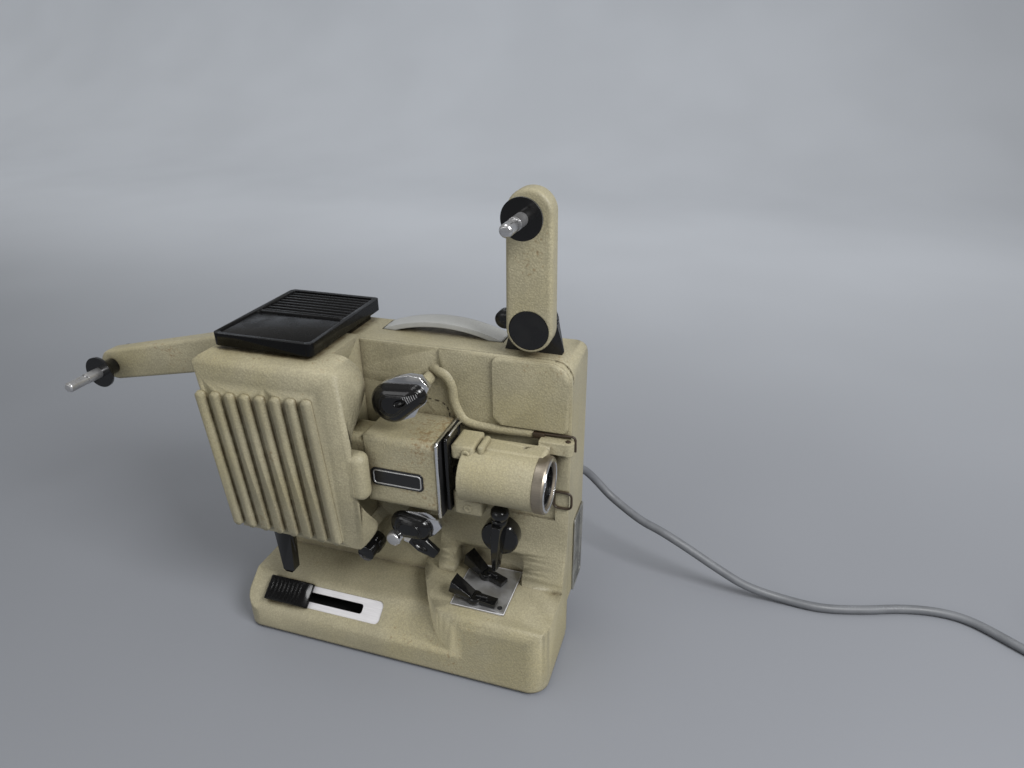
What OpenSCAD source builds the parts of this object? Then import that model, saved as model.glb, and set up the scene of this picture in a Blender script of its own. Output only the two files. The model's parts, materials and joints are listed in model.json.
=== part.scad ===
// Narrow film projector: cast front wall and base, rear cover, lamp house, film gate and two folding reel arms.
// +X points to the lens side, +Y away from the operator, +Z up. The origin is the centre of the footprint.

/* [Body] */
// Length of the body
body_l = 234; // [230:1:238]
// Depth of the body
body_d = 104; // [102:1:106]
// Height of the top face above the table
body_h = 222; // [220:1:224]
// Height of the rubber feet
foot_h = 3; // [2.5:0.5:4]
// Thickness of the cast walls
wall_t = 2.7; // [2.4:0.1:3]
// Thickness of the sheet covers
shell_t = 2.5; // [2:0.1:2.8]
// Radius of the upright corners of the base
corner_r = 13; // [10:1:15]

/* [Base and console] */
// Height of the flat top of the base
base_h = 37; // [36:1:38]
// Height at which the sloping front starts
slope_z = 18.6; // [17:0.2:20]
// Angle of the sloping front
slope_a = 37.6; // [36:0.2:39]
// Height of the control console
console_h = 53; // [51:1:54]

/* [Optics] */
// Optical axis, distance in front of the origin
axis_y = -18; // [-19:0.5:-17.5]
// Optical axis, height above the table
axis_z = 149; // [148:0.5:150]
// Outer radius of the lens barrel
barrel_r = 14; // [13:0.5:14.5]
// Radius of the lens carrier tube
carrier_r = 18; // [17:0.5:18.5]
// Radius of the focusing ring
ring_r = 16.8; // [16:0.2:18]
// Radius of the shutter disc
shutter_r = 21.3; // [20:0.1:21.3]

/* [Lamp house] */
// Rise of the lamp house above the body
lamp_rise = 3; // [2:0.5:4]
// Number of cooling ribs on the front
rib_count = 8; // [6:1:9]
// Radius of the cooling ribs
rib_r = 3.2; // [2.6:0.1:3.6]
// Radius of the lamp bulb
bulb_r = 11; // [9:0.5:12]

/* [Film path] */
// Radius of the sprocket drums
drum_r = 7.3; // [6.5:0.1:7.5]
// Number of sprocket teeth
teeth = 12; // [10:1:16]
// Radius of the sprocket shafts
shaft_r = 3; // [2.5:0.1:3.2]
// Running clearance of shafts, on the radius
run = 0.05; // [0.03:0.01:0.08]

/* [Reel arms] */
// Length of the feed arm between its pivot and the spindle
feed_len = 70; // [66:1:74]
// Length of the take-up arm between its pivot and the spindle
take_len = 111.5; // [108:0.5:114]
// Slope of the take-up arm below the horizontal
take_a = 12.2; // [10:0.2:14]
// Thickness of the arms
arm_t = 14; // [12:0.5:14.5]
// Radius of the reel spindles
spindle_r = 3.95; // [3.8:0.05:4]
// Radius of the reel flanges
flange_r = 12; // [11:0.5:13]

/* [Controls] */
// Travel of the speed slider
slider_travel = 54; // [50:1:55]
// Radius of the main knob disc
knob_r = 13; // [12:0.5:14]
// Height of the carrying handle arch
handle_rise = 8.8; // [8:0.2:10]

/* [Drive] */
// Radius of the motor can
motor_r = 18.5; // [17:0.5:18.5]
// Radius of the fan
fan_r = 17.5; // [15:0.5:18]

/* [Mains cord] */
// Diameter of the cord
cord_d = 6.6; // [6:0.1:7]
// Radius of the outer turn of the coil
coil_r = 45; // [43:1:47]

/* [Hidden] */
$fn = 48;

paint = [0.64, 0.61, 0.47];
gloss_black = [0.06, 0.06, 0.065];
chrome = [0.8, 0.8, 0.81];
steel = [0.6, 0.6, 0.6];
grey = [0.62, 0.62, 0.6];
dark = [0.16, 0.16, 0.17];

// Body faces
x1 = body_l / 2;
y1 = body_d / 2;
wall_f = 7;
seam = wall_f + wall_t;
plate_t = 2.5;
floor_in = foot_h + plate_t;
cover_z = 27.5;
raised_f = 5;
panel_f = 2.75;
slope = tan(slope_a);
slope_y = -y1 + (base_h - slope_z) / slope;
flare_r = 90;
flare_z = 105;
// Centre of the slider recess on the sloping front
slot_x = -54.5;
slot_y = -38.5;
slot_z = slope_z + (slot_y + y1) * slope;
slot_l = 93;
slot_w = 16.4;
slider_x = -28;
// Lamp house
lamp_top = body_h + lamp_rise;
cover_x0 = -119;
cover_x1 = -8;
lamp_x = -60;
neck_x = -24;
// Film path
gate_x = 38.6;
gate_t = 2.5;
press_x = 43.6;
carrier_x = 46;
up_x = 10;
up_z = body_h - 27.5;
low_x = 14.5;
low_z = axis_z - 48.5;
up_pin = [21.5, up_z + 6.3];
low_pin = [3.6, low_z - 9];
pin_r = 2;
boss_y = -12.6;
inch_x = -18.7;
inch_z = 75.6;
knob_x = 75;
knob_z = 98.5;
// Drive
motor_y = 30;
motor_z = 60;
main_y = 21;
main_r = 2.5;
wheel_r = 13.2;
shut_y = 1;
shut_r = 2;
pinion_r = 6.4;
belt_x = -21;
// Reel arms
arm_f = 4;
arm_b = arm_f + arm_t;
plate_f = 18.3;
pivot_r = 5;
feed_x = 89.3;
feed_z = body_h + 19.5;
take_x = -135;
take_z = body_h - 22.5;
take_end = [take_x - take_len * cos(take_a), take_z - take_len * sin(take_a)];
tip_y = -25;
tip_r = spindle_r - 0.2;
// Lens carrier hinge
hinge_x = x1 - 0.5;
hinge_y = 0.5;
hinge_z = axis_z + 13;
// Cord
gland = [99.5, 95.8];
cord_r = cord_d / 2;
coil_c = [500, 112];
coil_pitch = cord_d + 0.6;

// Straight cylinders along X and Y, and a box given by its faces
module xcyl(xa, xb, y, z, r) translate([xa, y, z]) rotate([0, 90, 0]) cylinder(h = xb - xa, r = r);
module ycyl(x, ya, yb, z, r) translate([x, yb, z]) rotate([90, 0, 0]) cylinder(h = yb - ya, r = r);
module box(xa, xb, ya, yb, za, zb) translate([xa, ya, za]) cube([xb - xa, yb - ya, zb - za]);

// Sheets drawn as the front view shows them (x, z), and bars drawn in the side view (y, z)
module front(ya, yb) translate([0, yb, 0]) rotate([90, 0, 0]) linear_extrude(yb - ya) children();
module side(xa, xb) translate([xa, 0, 0]) rotate([90, 0, 90]) linear_extrude(xb - xa) children();

// Rectangle with round corners, and one with its own radius at each corner, anticlockwise from lower left
module rr(xa, xb, ya, yb, r) rr4(xa, xb, ya, yb, [r, r, r, r]);
module rr4(xa, xb, ya, yb, r) {
  m = max(r);
  translate([xa + m, ya]) square([xb - xa - 2 * m, yb - ya]);
  translate([xa, ya + m]) square([xb - xa, yb - ya - 2 * m]);
  corner2(xa, ya, 1, 1, r[0], m);
  corner2(xb, ya, -1, 1, r[1], m);
  corner2(xb, yb, -1, -1, r[2], m);
  corner2(xa, yb, 1, -1, r[3], m);
}
module corner2(x, y, sx, sy, r, m) translate([x, y]) scale([sx, sy]) {
  if (r > 0) translate([r, r]) intersection() {
    circle(r);
    translate([-r, -r]) square(r);
  }
  translate([r, 0]) square([m - r + 0.01, m]);
  translate([0, r]) square([m, m - r + 0.01]);
}

// Box with a radius on the edges along X, Y and Z
module rbox(xa, xb, ya, yb, za, zb, rx, ry, rz) intersection() {
  translate([0, 0, za]) linear_extrude(zb - za) rr(xa, xb, ya, yb, rz);
  front(ya, yb) rr(xa, xb, za, zb, ry);
  side(xa, xb) rr(ya, yb, za, zb, rx);
}

// Two discs joined by their common tangents
module link2(ra, rb, d) {
  a = asin((ra - rb) / d);
  circle(ra);
  translate([0, d]) circle(rb);
  polygon([[-ra * cos(a), ra * sin(a)], [ra * cos(a), ra * sin(a)],
    [rb * cos(a), d + rb * sin(a)], [-rb * cos(a), d + rb * sin(a)]]);
}

// Polygon, drawn anticlockwise, with its own radius at each corner
module round_poly(p, r) polygon([for (i = [0 : len(p) - 1])
  each round_corner(p[(i + len(p) - 1) % len(p)], p[i], p[(i + 1) % len(p)], r[i], 8)]);
function round_corner(a, p, b, r, n) = r == 0 ? [p] : let (u = unit(a - p), v = unit(b - p), h = acos(u * v) / 2,
    c = p + unit(u + v) * r / sin(h), s = p + u * r / tan(h) - c, a0 = atan2(s[1], s[0]))
  [for (i = [0 : n]) c + r * [cos(a0 + (180 - 2 * h) * i / n), sin(a0 + (180 - 2 * h) * i / n)]];

// Smooth curve through points, with n steps in each span
function spline(p, n) = [for (i = [0 : len(p) - 2]) for (j = [0 : n - 1])
  catmull(p[max(i - 1, 0)], p[i], p[i + 1], p[min(i + 2, len(p) - 1)], j / n), p[len(p) - 1]];
function catmull(a, b, c, d, t) = 0.5 * (2 * b + (c - a) * t + (2 * a - 5 * b + 4 * c - d) * t * t
  + (3 * b - a - 3 * c + d) * t * t * t);
function unit(v) = v / norm(v);

// Plan and side outlines of the base, drawn in by e
function slope_in(e) = [[-y1 + e, foot_h], [-y1 + e, slope_z + e * slope - e / cos(slope_a)],
  [slope_y + (e / sin(slope_a) - e / slope), base_h - e], [seam, base_h - e], [seam, foot_h]];
module base_plan(e) rr4(-x1 + e, x1 - e, -y1 + e, seam + corner_r, [corner_r - e, corner_r - e, 0, 0]);
module base_block(e, back) intersection() {
  translate([0, 0, foot_h - 1]) linear_extrude(60) base_plan(e);
  side(-x1, x1) polygon(slope_in(e));
  box(-x1, x1, -y1, back, foot_h - e, base_h);
}
module console_block(e, back) intersection() {
  translate([0, 0, foot_h - e]) linear_extrude(console_h - foot_h) base_plan(e);
  translate([e, 0, foot_h - e]) linear_extrude(60)
    polygon(concat([[12, seam]], spline([[12, 6], [15, -10], [30, -35], [41, -46], [60, -y1]], 4), [[x1, -y1], [x1, seam]]));
  side(-x1, x1) rr4(-y1 + e, seam + 10, -10, console_h - e, [0, 0, 0, 7 - e]);
  box(-x1, x1, -y1, back, foot_h - e, console_h);
}
module flare() difference() {
  box(25, x1, -7.2, wall_f + 0.1, console_h - 1, flare_z);
  xcyl(20, x1 + 5, raised_f - flare_r, flare_z, flare_r);
}
// Outline of the raised face to the right of the film channel
ridge_z = body_h - 49;
ridge = [[29.5, ridge_z + 36], [39.8, ridge_z + 25.4], [40.4, ridge_z + 13], [47.2, ridge_z + 0.6],
  [59, ridge_z - 1], [88.9, ridge_z]];
module raised() {
  front(raised_f, wall_f + 0.1) difference() {
    polygon(concat([[29.5, body_h]], spline(ridge, 4), [[108, ridge_z], [108, 60], [x1, 60], [x1, body_h]]));
    wall_corner();
  }
  front(raised_f, wall_f + 0.1) polygon([[25, console_h], [x1, console_h], [x1, flare_z], [40, flare_z], [27, 96]]);
  front(panel_f, raised_f + 0.1) rr4(66, x1 - 1.5, ridge_z + 2, body_h - 0.4, [6, 3, 13, 3]);
}
module wall_corner() translate([x1, body_h]) difference() {
  translate([-14, -14]) square(15);
  translate([-14, -14]) circle(14);
}
module bosses() {
  ycyl(up_x, boss_y, wall_f + 0.1, up_z, shaft_r + 2.6);
  ycyl(low_x, boss_y, wall_f + 0.1, low_z, shaft_r + 2.6);
  ycyl(up_pin[0], boss_y, wall_f + 0.1, up_pin[1], pin_r + 2);
  ycyl(low_pin[0], boss_y, wall_f + 0.1, low_pin[1], pin_r + 2);
  ycyl(inch_x, -13.6, wall_f + 0.1, inch_z, main_r + 3);
}
module wall_bores() {
  for (p = [[up_x, up_z, shaft_r], [low_x, low_z, shaft_r], [up_pin[0], up_pin[1], pin_r],
    [low_pin[0], low_pin[1], pin_r], [inch_x, inch_z, main_r], [knob_x, knob_z, shaft_r]])
    ycyl(p[0], -40, seam + 1, p[1], p[2] + run);
  ycyl(spring_leg[0], wall_f - 1, wall_f + 2, spring_leg[1], 0.8 + run);
}

module front_casting() color(paint) difference() {
  union() {
    front(wall_f, seam) rr4(-x1, x1, floor_in, body_h, [0, 0, 14, 3]);
    difference() {
      union() {
        base_block(0, wall_f + 0.1);
        console_block(0, wall_f + 0.1);
      }
      base_block(wall_t, wall_f);
      console_block(wall_t, wall_f);
    }
    flare();
    raised();
    bosses();
  }
  wall_bores();
  niche();
  box(-x1 + wall_t, x1 - wall_t, 0, seam + 1, foot_h - 1, floor_in);
  on_slope() slope_cuts();
  // Lamp house window, drive window and shutter window
  front(0, seam + 1) rr(-110, -34, 95, body_h - 22, 6);
  front(0, seam + 1) rr(10, 18, axis_z - 11, axis_z + 11, 1);
  front(0, seam + 1) rr(26, 31.5, axis_z - 21.6, axis_z + 21.6, 1);
  for (p = lever_pins) translate([p[0], p[1], console_h - 10]) cylinder(h = 20, r = 2 + run);
}
module niche() intersection() {
  front(-9, wall_f + 0.3) rr(37.5, 88, 40, 74, 6);
  box(37, 89, -9, wall_f + 0.3, console_h, 80);
}
module on_slope() translate([slot_x, slot_y, slot_z]) rotate([slope_a, 0, 0]) children();
module slope_cuts() {
  translate([0, 0, -2]) linear_extrude(10) rr(-slot_l / 2, slot_l / 2, -slot_w / 2, slot_w / 2, 4);
  translate([0, 0, -14]) linear_extrude(14) rr(slider_x - 5, slider_x + slider_travel + 5, -3.5, 3.5, 2);
}

module cover_block(e, from) intersection() {
  front(from, y1 + 1) rr4(-x1 + e, x1 - e, cover_z + e, body_h - e, [6, 6, 12 - e, 3]);
  side(-x1, x1) rr4(-20, y1 - e, cover_z + e, body_h - e, [0, 6 - e, 8 - e, 0]);
  translate([0, 0, cover_z]) linear_extrude(body_h) rr4(-x1 + e, x1 - e, -20, y1 - e, [0, 0, 2.6 - e * 0.8, 2.6 - e * 0.8]);
  box(-x1, x1, from, y1 + 1, 0, body_h);
}
module rear_cover() color(paint) difference() {
  cover_block(0, seam);
  cover_block(shell_t, seam - 5);
  // Vent, exhaust, cord gland, handle studs and screws
  side(x1 - 4, x1 + 1) rr(24, 48, 32, 93, 2);
  translate([0, 0, body_h - 5]) linear_extrude(8) rr(-96, -41, 14, 42, 3);
  ycyl(gland[0], y1 - 6, y1 + 1, gland[1], 5.1);
  for (x = handle_x) translate([x, 35, body_h - 6]) cylinder(h = 8, r = 2.5 + run);
  for (p = screw_at) ycyl(p[0], y1 - 6, y1 + 1, p[1], 2 + run);
}
screw_at = [[-100, body_h - 32], [-100, 60], [100, body_h - 32], [100, 60], [0, body_h - 22]];
module cover_screws() color(steel) for (p = screw_at) difference() {
  union() {
    ycyl(p[0], y1, y1 + 1.8, p[1], 3.6);
    ycyl(p[0], y1 - 6, y1 + 0.5, p[1], 2);
  }
  translate([p[0] - 3, y1 + 1, p[1] - 0.5]) cube([6, 2, 1]);
}

module base_plate() color(dark) {
  translate([0, 0, foot_h]) linear_extrude(plate_t)
    rr4(-x1 + wall_t + 0.1, x1 - wall_t - 0.1, -y1 + wall_t + 0.1, seam, [corner_r - 3, corner_r - 3, 0, 0]);
  difference() {
    translate([0, 0, foot_h]) linear_extrude(cover_z - foot_h) rr4(-x1 + 9, x1 - 9, seam, y1 - 8, [0, 0, 6, 6]);
    translate([0, 0, floor_in]) linear_extrude(40) rr4(-x1 + 11, x1 - 11, seam - 1, y1 - 10, [0, 0, 4, 4]);
  }
}
foot_at = [[-98, -38], [98, -38], [-96, 34], [96, 34]];
module feet() color(dark) for (p = foot_at) translate([p[0], p[1], 0]) cylinder(h = foot_h, r = 7);

module vent_grille() color(grey) {
  side(x1, x1 + 1.2) difference() {
    rr(22.5, 49.5, 30.5, 94.5, 3);
    rr(25, 47, 33, 92, 2);
  }
  side(x1 - 1.6, x1 + 0.1) difference() {
    rr(24.1, 47.9, 32.1, 92.9, 2);
    rr(25, 47, 33, 92, 2);
  }
  for (i = [0 : 16]) box(x1 - 1.2, x1 + 0.6, 24.9, 47.1, 34 + i * 3.5, 35.4 + i * 3.5);
}

grille_z = lamp_top + 3;
grille_slats = 8;
module top_grille() color(gloss_black) {
  difference() {
    translate([0, 0, grille_z]) linear_extrude(8) rr(-104, -33, -41, 48.7, 4);
    translate([0, 0, grille_z - 1]) linear_extrude(6.5) rr(-101.5, -35.5, -38.5, 46.2, 3);
    translate([0, 0, grille_z + 6.5]) linear_extrude(5) rr(-101, -36, -38, 2, 3);
    translate([0, 0, grille_z + 1]) linear_extrude(10) rr(-100, -37, 5, 45.5, 2);
  }
  for (i = [0 : grille_slats - 1]) box(-101.6, -35.4, 7 + i * 4.9, 9.2 + i * 4.9, grille_z + 2, grille_z + 6.6);
  difference() {
    translate([0, 0, body_h]) linear_extrude(grille_z + 2.5 - body_h) rr(-99, -38, 10.5, 45, 4);
    translate([0, 0, body_h - 1]) linear_extrude(20) rr(-96.5, -40.5, 13, 42.5, 3);
  }
  translate([0, 0, grille_z]) linear_extrude(2) difference() {
    rr(-102, -35, -39, 47, 3);
    rr(-98, -39, 11, 44.5, 2);
  }
}

house_z = [axis_z - 29, axis_z + 24];
cond_r = 10.5;
module condenser_housing() color(paint) difference() {
  union() {
    difference() {
      rbox(-14, gate_x + 8, -31, wall_f + 8, house_z[0], house_z[1], 6, 6, 7);
      rbox(-11.8, gate_x + 12, -28.8, wall_f + 12, house_z[0] + 2.2, house_z[1] - 2.2, 4, 4, 5);
    }
    side(neck_x, -11) rr(-29, -5, axis_z - 24, axis_z + 21, 5);
    box(3, 5, -29, 8, house_z[0] + 1, house_z[1] - 1);
    xcyl(-11.5, -8, axis_y, axis_z, cond_r + 1.8);
  }
  xcyl(neck_x - 1, 10, axis_y, axis_z, cond_r - 1.5);
  xcyl(4, 10, axis_y, axis_z, cond_r + run);
  xcyl(-11, -7, axis_y, axis_z, cond_r + run);
  box(gate_x, gate_x + 20, -40, 20, 100, 190);
  box(-20, gate_x + 1, wall_f, 30, 100, 190);
}
module name_plate() color(dark) front(-31.7, -31) rr(-7, 29.6, axis_z - 12.4, axis_z + 0.6, 3);

module plano_lens(x, r, bulge) translate([x, axis_y, axis_z]) rotate([0, 90, 0]) rotate_extrude() intersection() {
  square([r, bulge]);
  translate([0, bulge - 2 * r]) circle(2 * r);
}
module condenser_lenses() color([0.8, 0.9, 0.95]) {
  plano_lens(-11, cond_r, 6);
  plano_lens(4, cond_r, 6);
}

// Gate plate with its aperture, film track and claw slot
module film_gate() color(chrome) difference() {
  side(gate_x, gate_x + gate_t) rr4(-31, wall_f, axis_z - 31, axis_z + 25, [2, 0, 0, 2]);
  side(gate_x + gate_t - 0.3, gate_x + gate_t + 1) rr(axis_y - 4.1, axis_y + 4.1, axis_z - 40, axis_z + 35, 0.5);
  side(gate_x - 1, gate_x + gate_t + 1) rr(axis_y - 2.3, axis_y + 2.3, axis_z - 1.7, axis_z + 1.7, 0.4);
  side(gate_x - 1, gate_x + gate_t + 1) rr(axis_y + 3.2, axis_y + 5.4, axis_z - 19, axis_z - 5, 0.5);
}
// Claw plate behind the gate, with two teeth
module claw() color(steel) {
  side(gate_x - 2, gate_x - 0.3) rr(axis_y - 7, axis_y + 8, axis_z - 21, axis_z - 4.2, 1);
  for (z = [-7, -10.8]) box(gate_x - 0.4, gate_x + gate_t + 1.2, axis_y + 3.8, axis_y + 4.8, axis_z + z - 0.5, axis_z + z + 0.5);
}
module pressure_plate() color(chrome) difference() {
  union() {
    side(press_x, carrier_x - 0.2) rr(-27, -9, axis_z - 27, axis_z + 27, 2);
    for (z = post_z) xcyl(press_x + 1, carrier_x + 3, -18, z, 1.9);
  }
  side(press_x - 1, carrier_x) rr(axis_y - 2.6, axis_y + 2.6, axis_z - 2, axis_z + 2, 0.4);
}
post_z = [axis_z - 23.5, axis_z + 17];

module lens_carrier() color(paint) difference() {
  union() {
    xcyl(carrier_x + 8, 104.5, axis_y, axis_z, carrier_r);
    rbox(carrier_x, 62, -24, -1, axis_z - 30, axis_z + 22, 3, 3, 3);
    rbox(47, 106, -18, -2, axis_z, axis_z + 19, 3, 3, 2);
    rbox(98, hinge_x, hinge_y - 4, hinge_y + 4, hinge_z, hinge_z + 9, 1, 1, 1);
    translate([hinge_x, hinge_y, hinge_z]) cylinder(h = 9, r = 4);
    box(98, 106, -6, 2, axis_z + 7, axis_z + 19);
    rbox(58, 65, -22, -6, axis_z - 31, axis_z - 13, 2, 2, 2);
  }
  xcyl(carrier_x - 1, 110, axis_y, axis_z, barrel_r + run);
  xcyl(104.5, 120, axis_y, axis_z, ring_r + 0.6);
  for (z = post_z) xcyl(carrier_x - 1, carrier_x + 5, -18, z, 2);
  translate([hinge_x, hinge_y, axis_z]) cylinder(h = 40, r = 1.6 + run);
  translate([91, -9, axis_z + 11]) cylinder(h = 10, r = 1.6);
}
module carrier_hinge() color(gloss_black) {
  for (z = [hinge_z - 4.4, hinge_z + 9.4]) difference() {
    translate([0, 0, z]) linear_extrude(3.4) {
      translate([hinge_x, hinge_y]) circle(4);
      translate([hinge_x - 8, hinge_y - 3]) square([8, raised_f - hinge_y + 3]);
    }
    translate([hinge_x, hinge_y, z - 1]) cylinder(h = 6, r = 1.6);
  }
  translate([hinge_x, hinge_y, hinge_z - 5.4]) cylinder(h = 19.4, r = 1.6);
}
// Wire loop with one leg bent back into the wall
spring_leg = [102.4, axis_z - 19.2];
loop_box = [[106.8, axis_z - 31.8], [119.2, axis_z - 19.2]];
loop_line = let (a = loop_box[0], b = loop_box[1], r = 3.4)
  [for (q = [[b[0] - r, b[1] - r, 90], [b[0] - r, a[1] + r, 0], [a[0] + r, a[1] + r, -90]]) for (i = [0 : 5])
    [q[0] + r * cos(q[2] - i * 18), 3.9, q[1] + r * sin(q[2] - i * 18)]];
module carrier_spring() color(steel)
  tube(concat([for (y = [8.6, 5.6]) [spring_leg[0], y, spring_leg[1]]],
    [for (a = [22.5 : 22.5 : 90]) [spring_leg[0] + 1.7 * (1 - cos(a)), 5.6 - 1.7 * sin(a), spring_leg[1]]],
    loop_line, [[loop_box[0][0], 3.9, axis_z - 21.8]]), 0.8, 8, [0, 0.6, 0.8]);
module focus_ring() color(grey) difference() {
  union() {
    xcyl(104.8, 108.6, axis_y, axis_z, ring_r);
    translate([108.6, axis_y, axis_z]) rotate([0, 90, 0]) cylinder(h = 1.4, r1 = ring_r, r2 = ring_r - 1.4);
  }
  xcyl(104, 111, axis_y, axis_z, barrel_r + run);
}
module lens_barrel() color(gloss_black) difference() {
  xcyl(62, 108.5, axis_y, axis_z, barrel_r);
  xcyl(61, 110, axis_y, axis_z, barrel_r - 2);
}
module lens_glass() color([0.15, 0.18, 0.22]) {
  plano_lens(103.5, barrel_r - 2, 4);
  plano_lens(66, barrel_r - 2, 4);
}

// Lamp, its socket stand and the mirror behind it
module lamp_socket() color(dark) {
  rbox(-92, -46, -27, wall_f, 90, 92.5, 1, 1, 3);
  difference() {
    translate([lamp_x, axis_y, 92.5]) cylinder(h = 12, r = 10);
    translate([lamp_x, axis_y, 94]) cylinder(h = 20, r = 8.05);
  }
  box(-87, -85, axis_y - 5, axis_y + 5, 92.5, axis_z + 4);
}
module lamp() color([0.9, 0.92, 0.95]) {
  translate([lamp_x, axis_y, 94]) cylinder(h = 16, r = 8);
  translate([lamp_x, axis_y, 110]) cylinder(h = axis_z - 96, r = bulb_r);
  translate([lamp_x, axis_y, axis_z + 14]) sphere(bulb_r);
}
module reflector() color(chrome) intersection() {
  difference() {
    translate([lamp_x, axis_y, axis_z]) sphere(26);
    translate([lamp_x, axis_y, axis_z]) sphere(24.5);
  }
  xcyl(-85, -78.5, axis_y, axis_z, 17);
}

// Lamp house cover. Its right wall steps in behind a curved edge, round the condenser housing
cover_z0 = 86;
cover_y0 = -47;
lean_y = 7 / 139;
lean_x = 8 / 139;
module cover_form(e, back) intersection() {
  front(-70, back) round_poly([[-111 + e, cover_z0 + e], [cover_x1 - e, cover_z0 + e],
    [cover_x1 - e, lamp_top - e], [cover_x0 + e, lamp_top - e]], [12 - e, 16 - e, 18 - e, 14 - e]);
  side(-140, 20) round_poly([[cover_y0 + e, cover_z0 + e], [30, cover_z0 + e], [30, lamp_top - e], [-54 + e, lamp_top - e]],
    [12 - e, 0, 0, 14 - e]);
  translate([cover_x1, cover_y0, cover_z0]) rotate([atan(lean_y), 0, 0]) translate([0, 0, -30]) linear_extrude(220)
    round_poly([[-200, e - 0.15], [0.15 - e, e - 0.15], [0.15 - e, 90], [-200, 90]], [0, 20 - e, 0, 0]);
  translate([-111, cover_y0, cover_z0]) rotate([atan(lean_y), -atan(lean_x), 0]) translate([0, 0, -30]) linear_extrude(220)
    round_poly([[e - 0.15, e - 0.15], [200, e - 0.15], [200, 90], [e - 0.15, 90]], [12 - e, 0, 0, 0]);
}
notch_x = -28;
notch_line = spline([[-26, 203], [-29, 199], [-38, 188], [-43, 176], [-43.5, 154], [-43, 131], [-38, 117], [-30, 104],
  [-29, 98]], 3);
module notch(e) translate([0, -e, 0]) side(notch_x - e, 5)
  polygon(concat([[40, 260], [-26, 260]], notch_line, [[-29, 60], [40, 60]]));
module rib(i) {
  x = -109.8 + i * 77.8 / (rib_count - 1);
  top = 198 + i * 0.7;
  translate([x + 4, cover_y0, cover_z0]) rotate([90 + atan(lean_y), -atan(4 / 103), 0]) translate([0, 0, -1.5])
    linear_extrude(rib_r + 1.5) rr(-rib_r, rib_r, 9, top - cover_z0 + rib_r, rib_r - 0.1);
}
module lamp_cover() color(paint) {
  difference() {
    union() {
      cover_form(0, wall_f - 0.3);
      for (i = [0 : rib_count - 1]) rib(i);
    }
    difference() {
      cover_form(shell_t, wall_f + 5);
      notch(shell_t);
    }
    notch(0);
    xcyl(notch_x - shell_t - 1, notch_x + 1, axis_y, axis_z, 13);
    latch_hole();
  }
  rbox(-17, -5, -46, -33, axis_z - 19, axis_z + 15, 5.5, 5.5, 4);
}
latch = [-80, -36];
module latch_hole() translate([latch[0], latch[1], 80]) cylinder(h = 14, r = 3 + run);
module cover_latch() color(gloss_black) {
  translate([latch[0], latch[1], 76]) cylinder(h = 15.6, r = 3);
  translate([latch[0], latch[1], 90.4]) cylinder(h = 1.2, r = 4.5);
  front(latch[1] - 3.5, latch[1] + 3.5) polygon([[latch[0] - 6.5, 85.5], [latch[0] + 6.5, 85.5],
    [latch[0] + 4.5, 52], [latch[0] + 2.5, 50], [latch[0] - 2.5, 50], [latch[0] - 4.5, 52]]);
}

// Drive: motor, belt, main shaft, shutter shaft
module motor() color(dark) difference() {
  union() {
    xcyl(0, 46, motor_y, motor_z, motor_r);
    xcyl(-5, 50, motor_y, motor_z, 6);
    box(6, 40, seam, motor_y, motor_z - 10, motor_z + 10);
  }
  xcyl(-6, 52, motor_y, motor_z, main_r + run);
}
module motor_rotor() color(steel) {
  xcyl(-73, 53, motor_y, motor_z, main_r);
  pulley(motor_y, motor_z, 5);
  xcyl(-51, -49, motor_y, motor_z, fan_r);
  xcyl(-71, -49, motor_y, motor_z, 5);
  for (a = [0 : 36 : 324]) translate([-68, motor_y, motor_z]) rotate([a, 0, 0]) translate([0, 4.5, -0.5]) cube([17.5, fan_r - 4.5, 1]);
}
module pulley(y, z, r) {
  for (x = [-4, 3]) xcyl(belt_x + x, belt_x + x + 1, y, z, r + 1.6);
  xcyl(belt_x - 4, belt_x + 4, y, z, r);
}
module main_shaft() color(steel) {
  xcyl(-30, 26, main_y, axis_z, main_r);
  pulley(main_y, axis_z, 9);
  xcyl(12, 16, main_y, axis_z, wheel_r);
}
belt_d = norm([motor_y - main_y, axis_z - motor_z]);
function belt_line(ra, rb) = let (a = asin((ra - rb) / belt_d)) concat(
  [for (i = [0 : 12]) ra * [cos(180 - a + i * (180 + 2 * a) / 12), sin(180 - a + i * (180 + 2 * a) / 12)]],
  [for (i = [0 : 16]) [0, belt_d] + rb * [cos(a + i * (180 - 2 * a) / 16), sin(a + i * (180 - 2 * a) / 16)]]);
module drive_belt() color(dark) side(belt_x - 1.5, belt_x + 1.5) translate([motor_y, motor_z])
  rotate(atan((motor_y - main_y) / (axis_z - motor_z))) difference() {
    polygon(belt_line(6.5, 10.5));
    polygon(belt_line(5.15, 9.15));
  }
module bearing_blocks() color(grey) {
  for (x = [-12, 19]) difference() {
    box(x, x + 6, seam, main_y + 7, axis_z - 8, axis_z + 8);
    xcyl(x - 1, x + 7, main_y, axis_z, main_r + run);
  }
  difference() {
    box(18, 24, shut_y - 5, wall_f, axis_z - 5, axis_z + 5);
    xcyl(17, 25, shut_y, axis_z, shut_r + run);
  }
}
module shutter_shaft() color(steel) {
  xcyl(9, 31, shut_y, axis_z, shut_r);
  xcyl(12, 16, shut_y, axis_z, pinion_r);
}
module shutter_disc() color(dark) difference() {
  union() {
    xcyl(28, 29, shut_y, axis_z, shutter_r);
    xcyl(26.5, 30.5, shut_y, axis_z, 5);
  }
  xcyl(26, 32, shut_y, axis_z, shut_r);
  for (a = [0, 120, 240]) side(27.5, 29.5) translate([shut_y, axis_z]) rotate(a)
    polygon([[9 * cos(25), 9 * sin(25)], [30 * cos(25), 30 * sin(25)], [34, 0], [30 * cos(25), -30 * sin(25)], [9 * cos(25), -9 * sin(25)]]);
}
module transformer() color(dark) {
  rbox(-112, -78, seam, 41, 32, 74, 1, 1, 1);
  rbox(-106, -84, 13, 44, 38, 68, 3, 3, 3);
}
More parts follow.
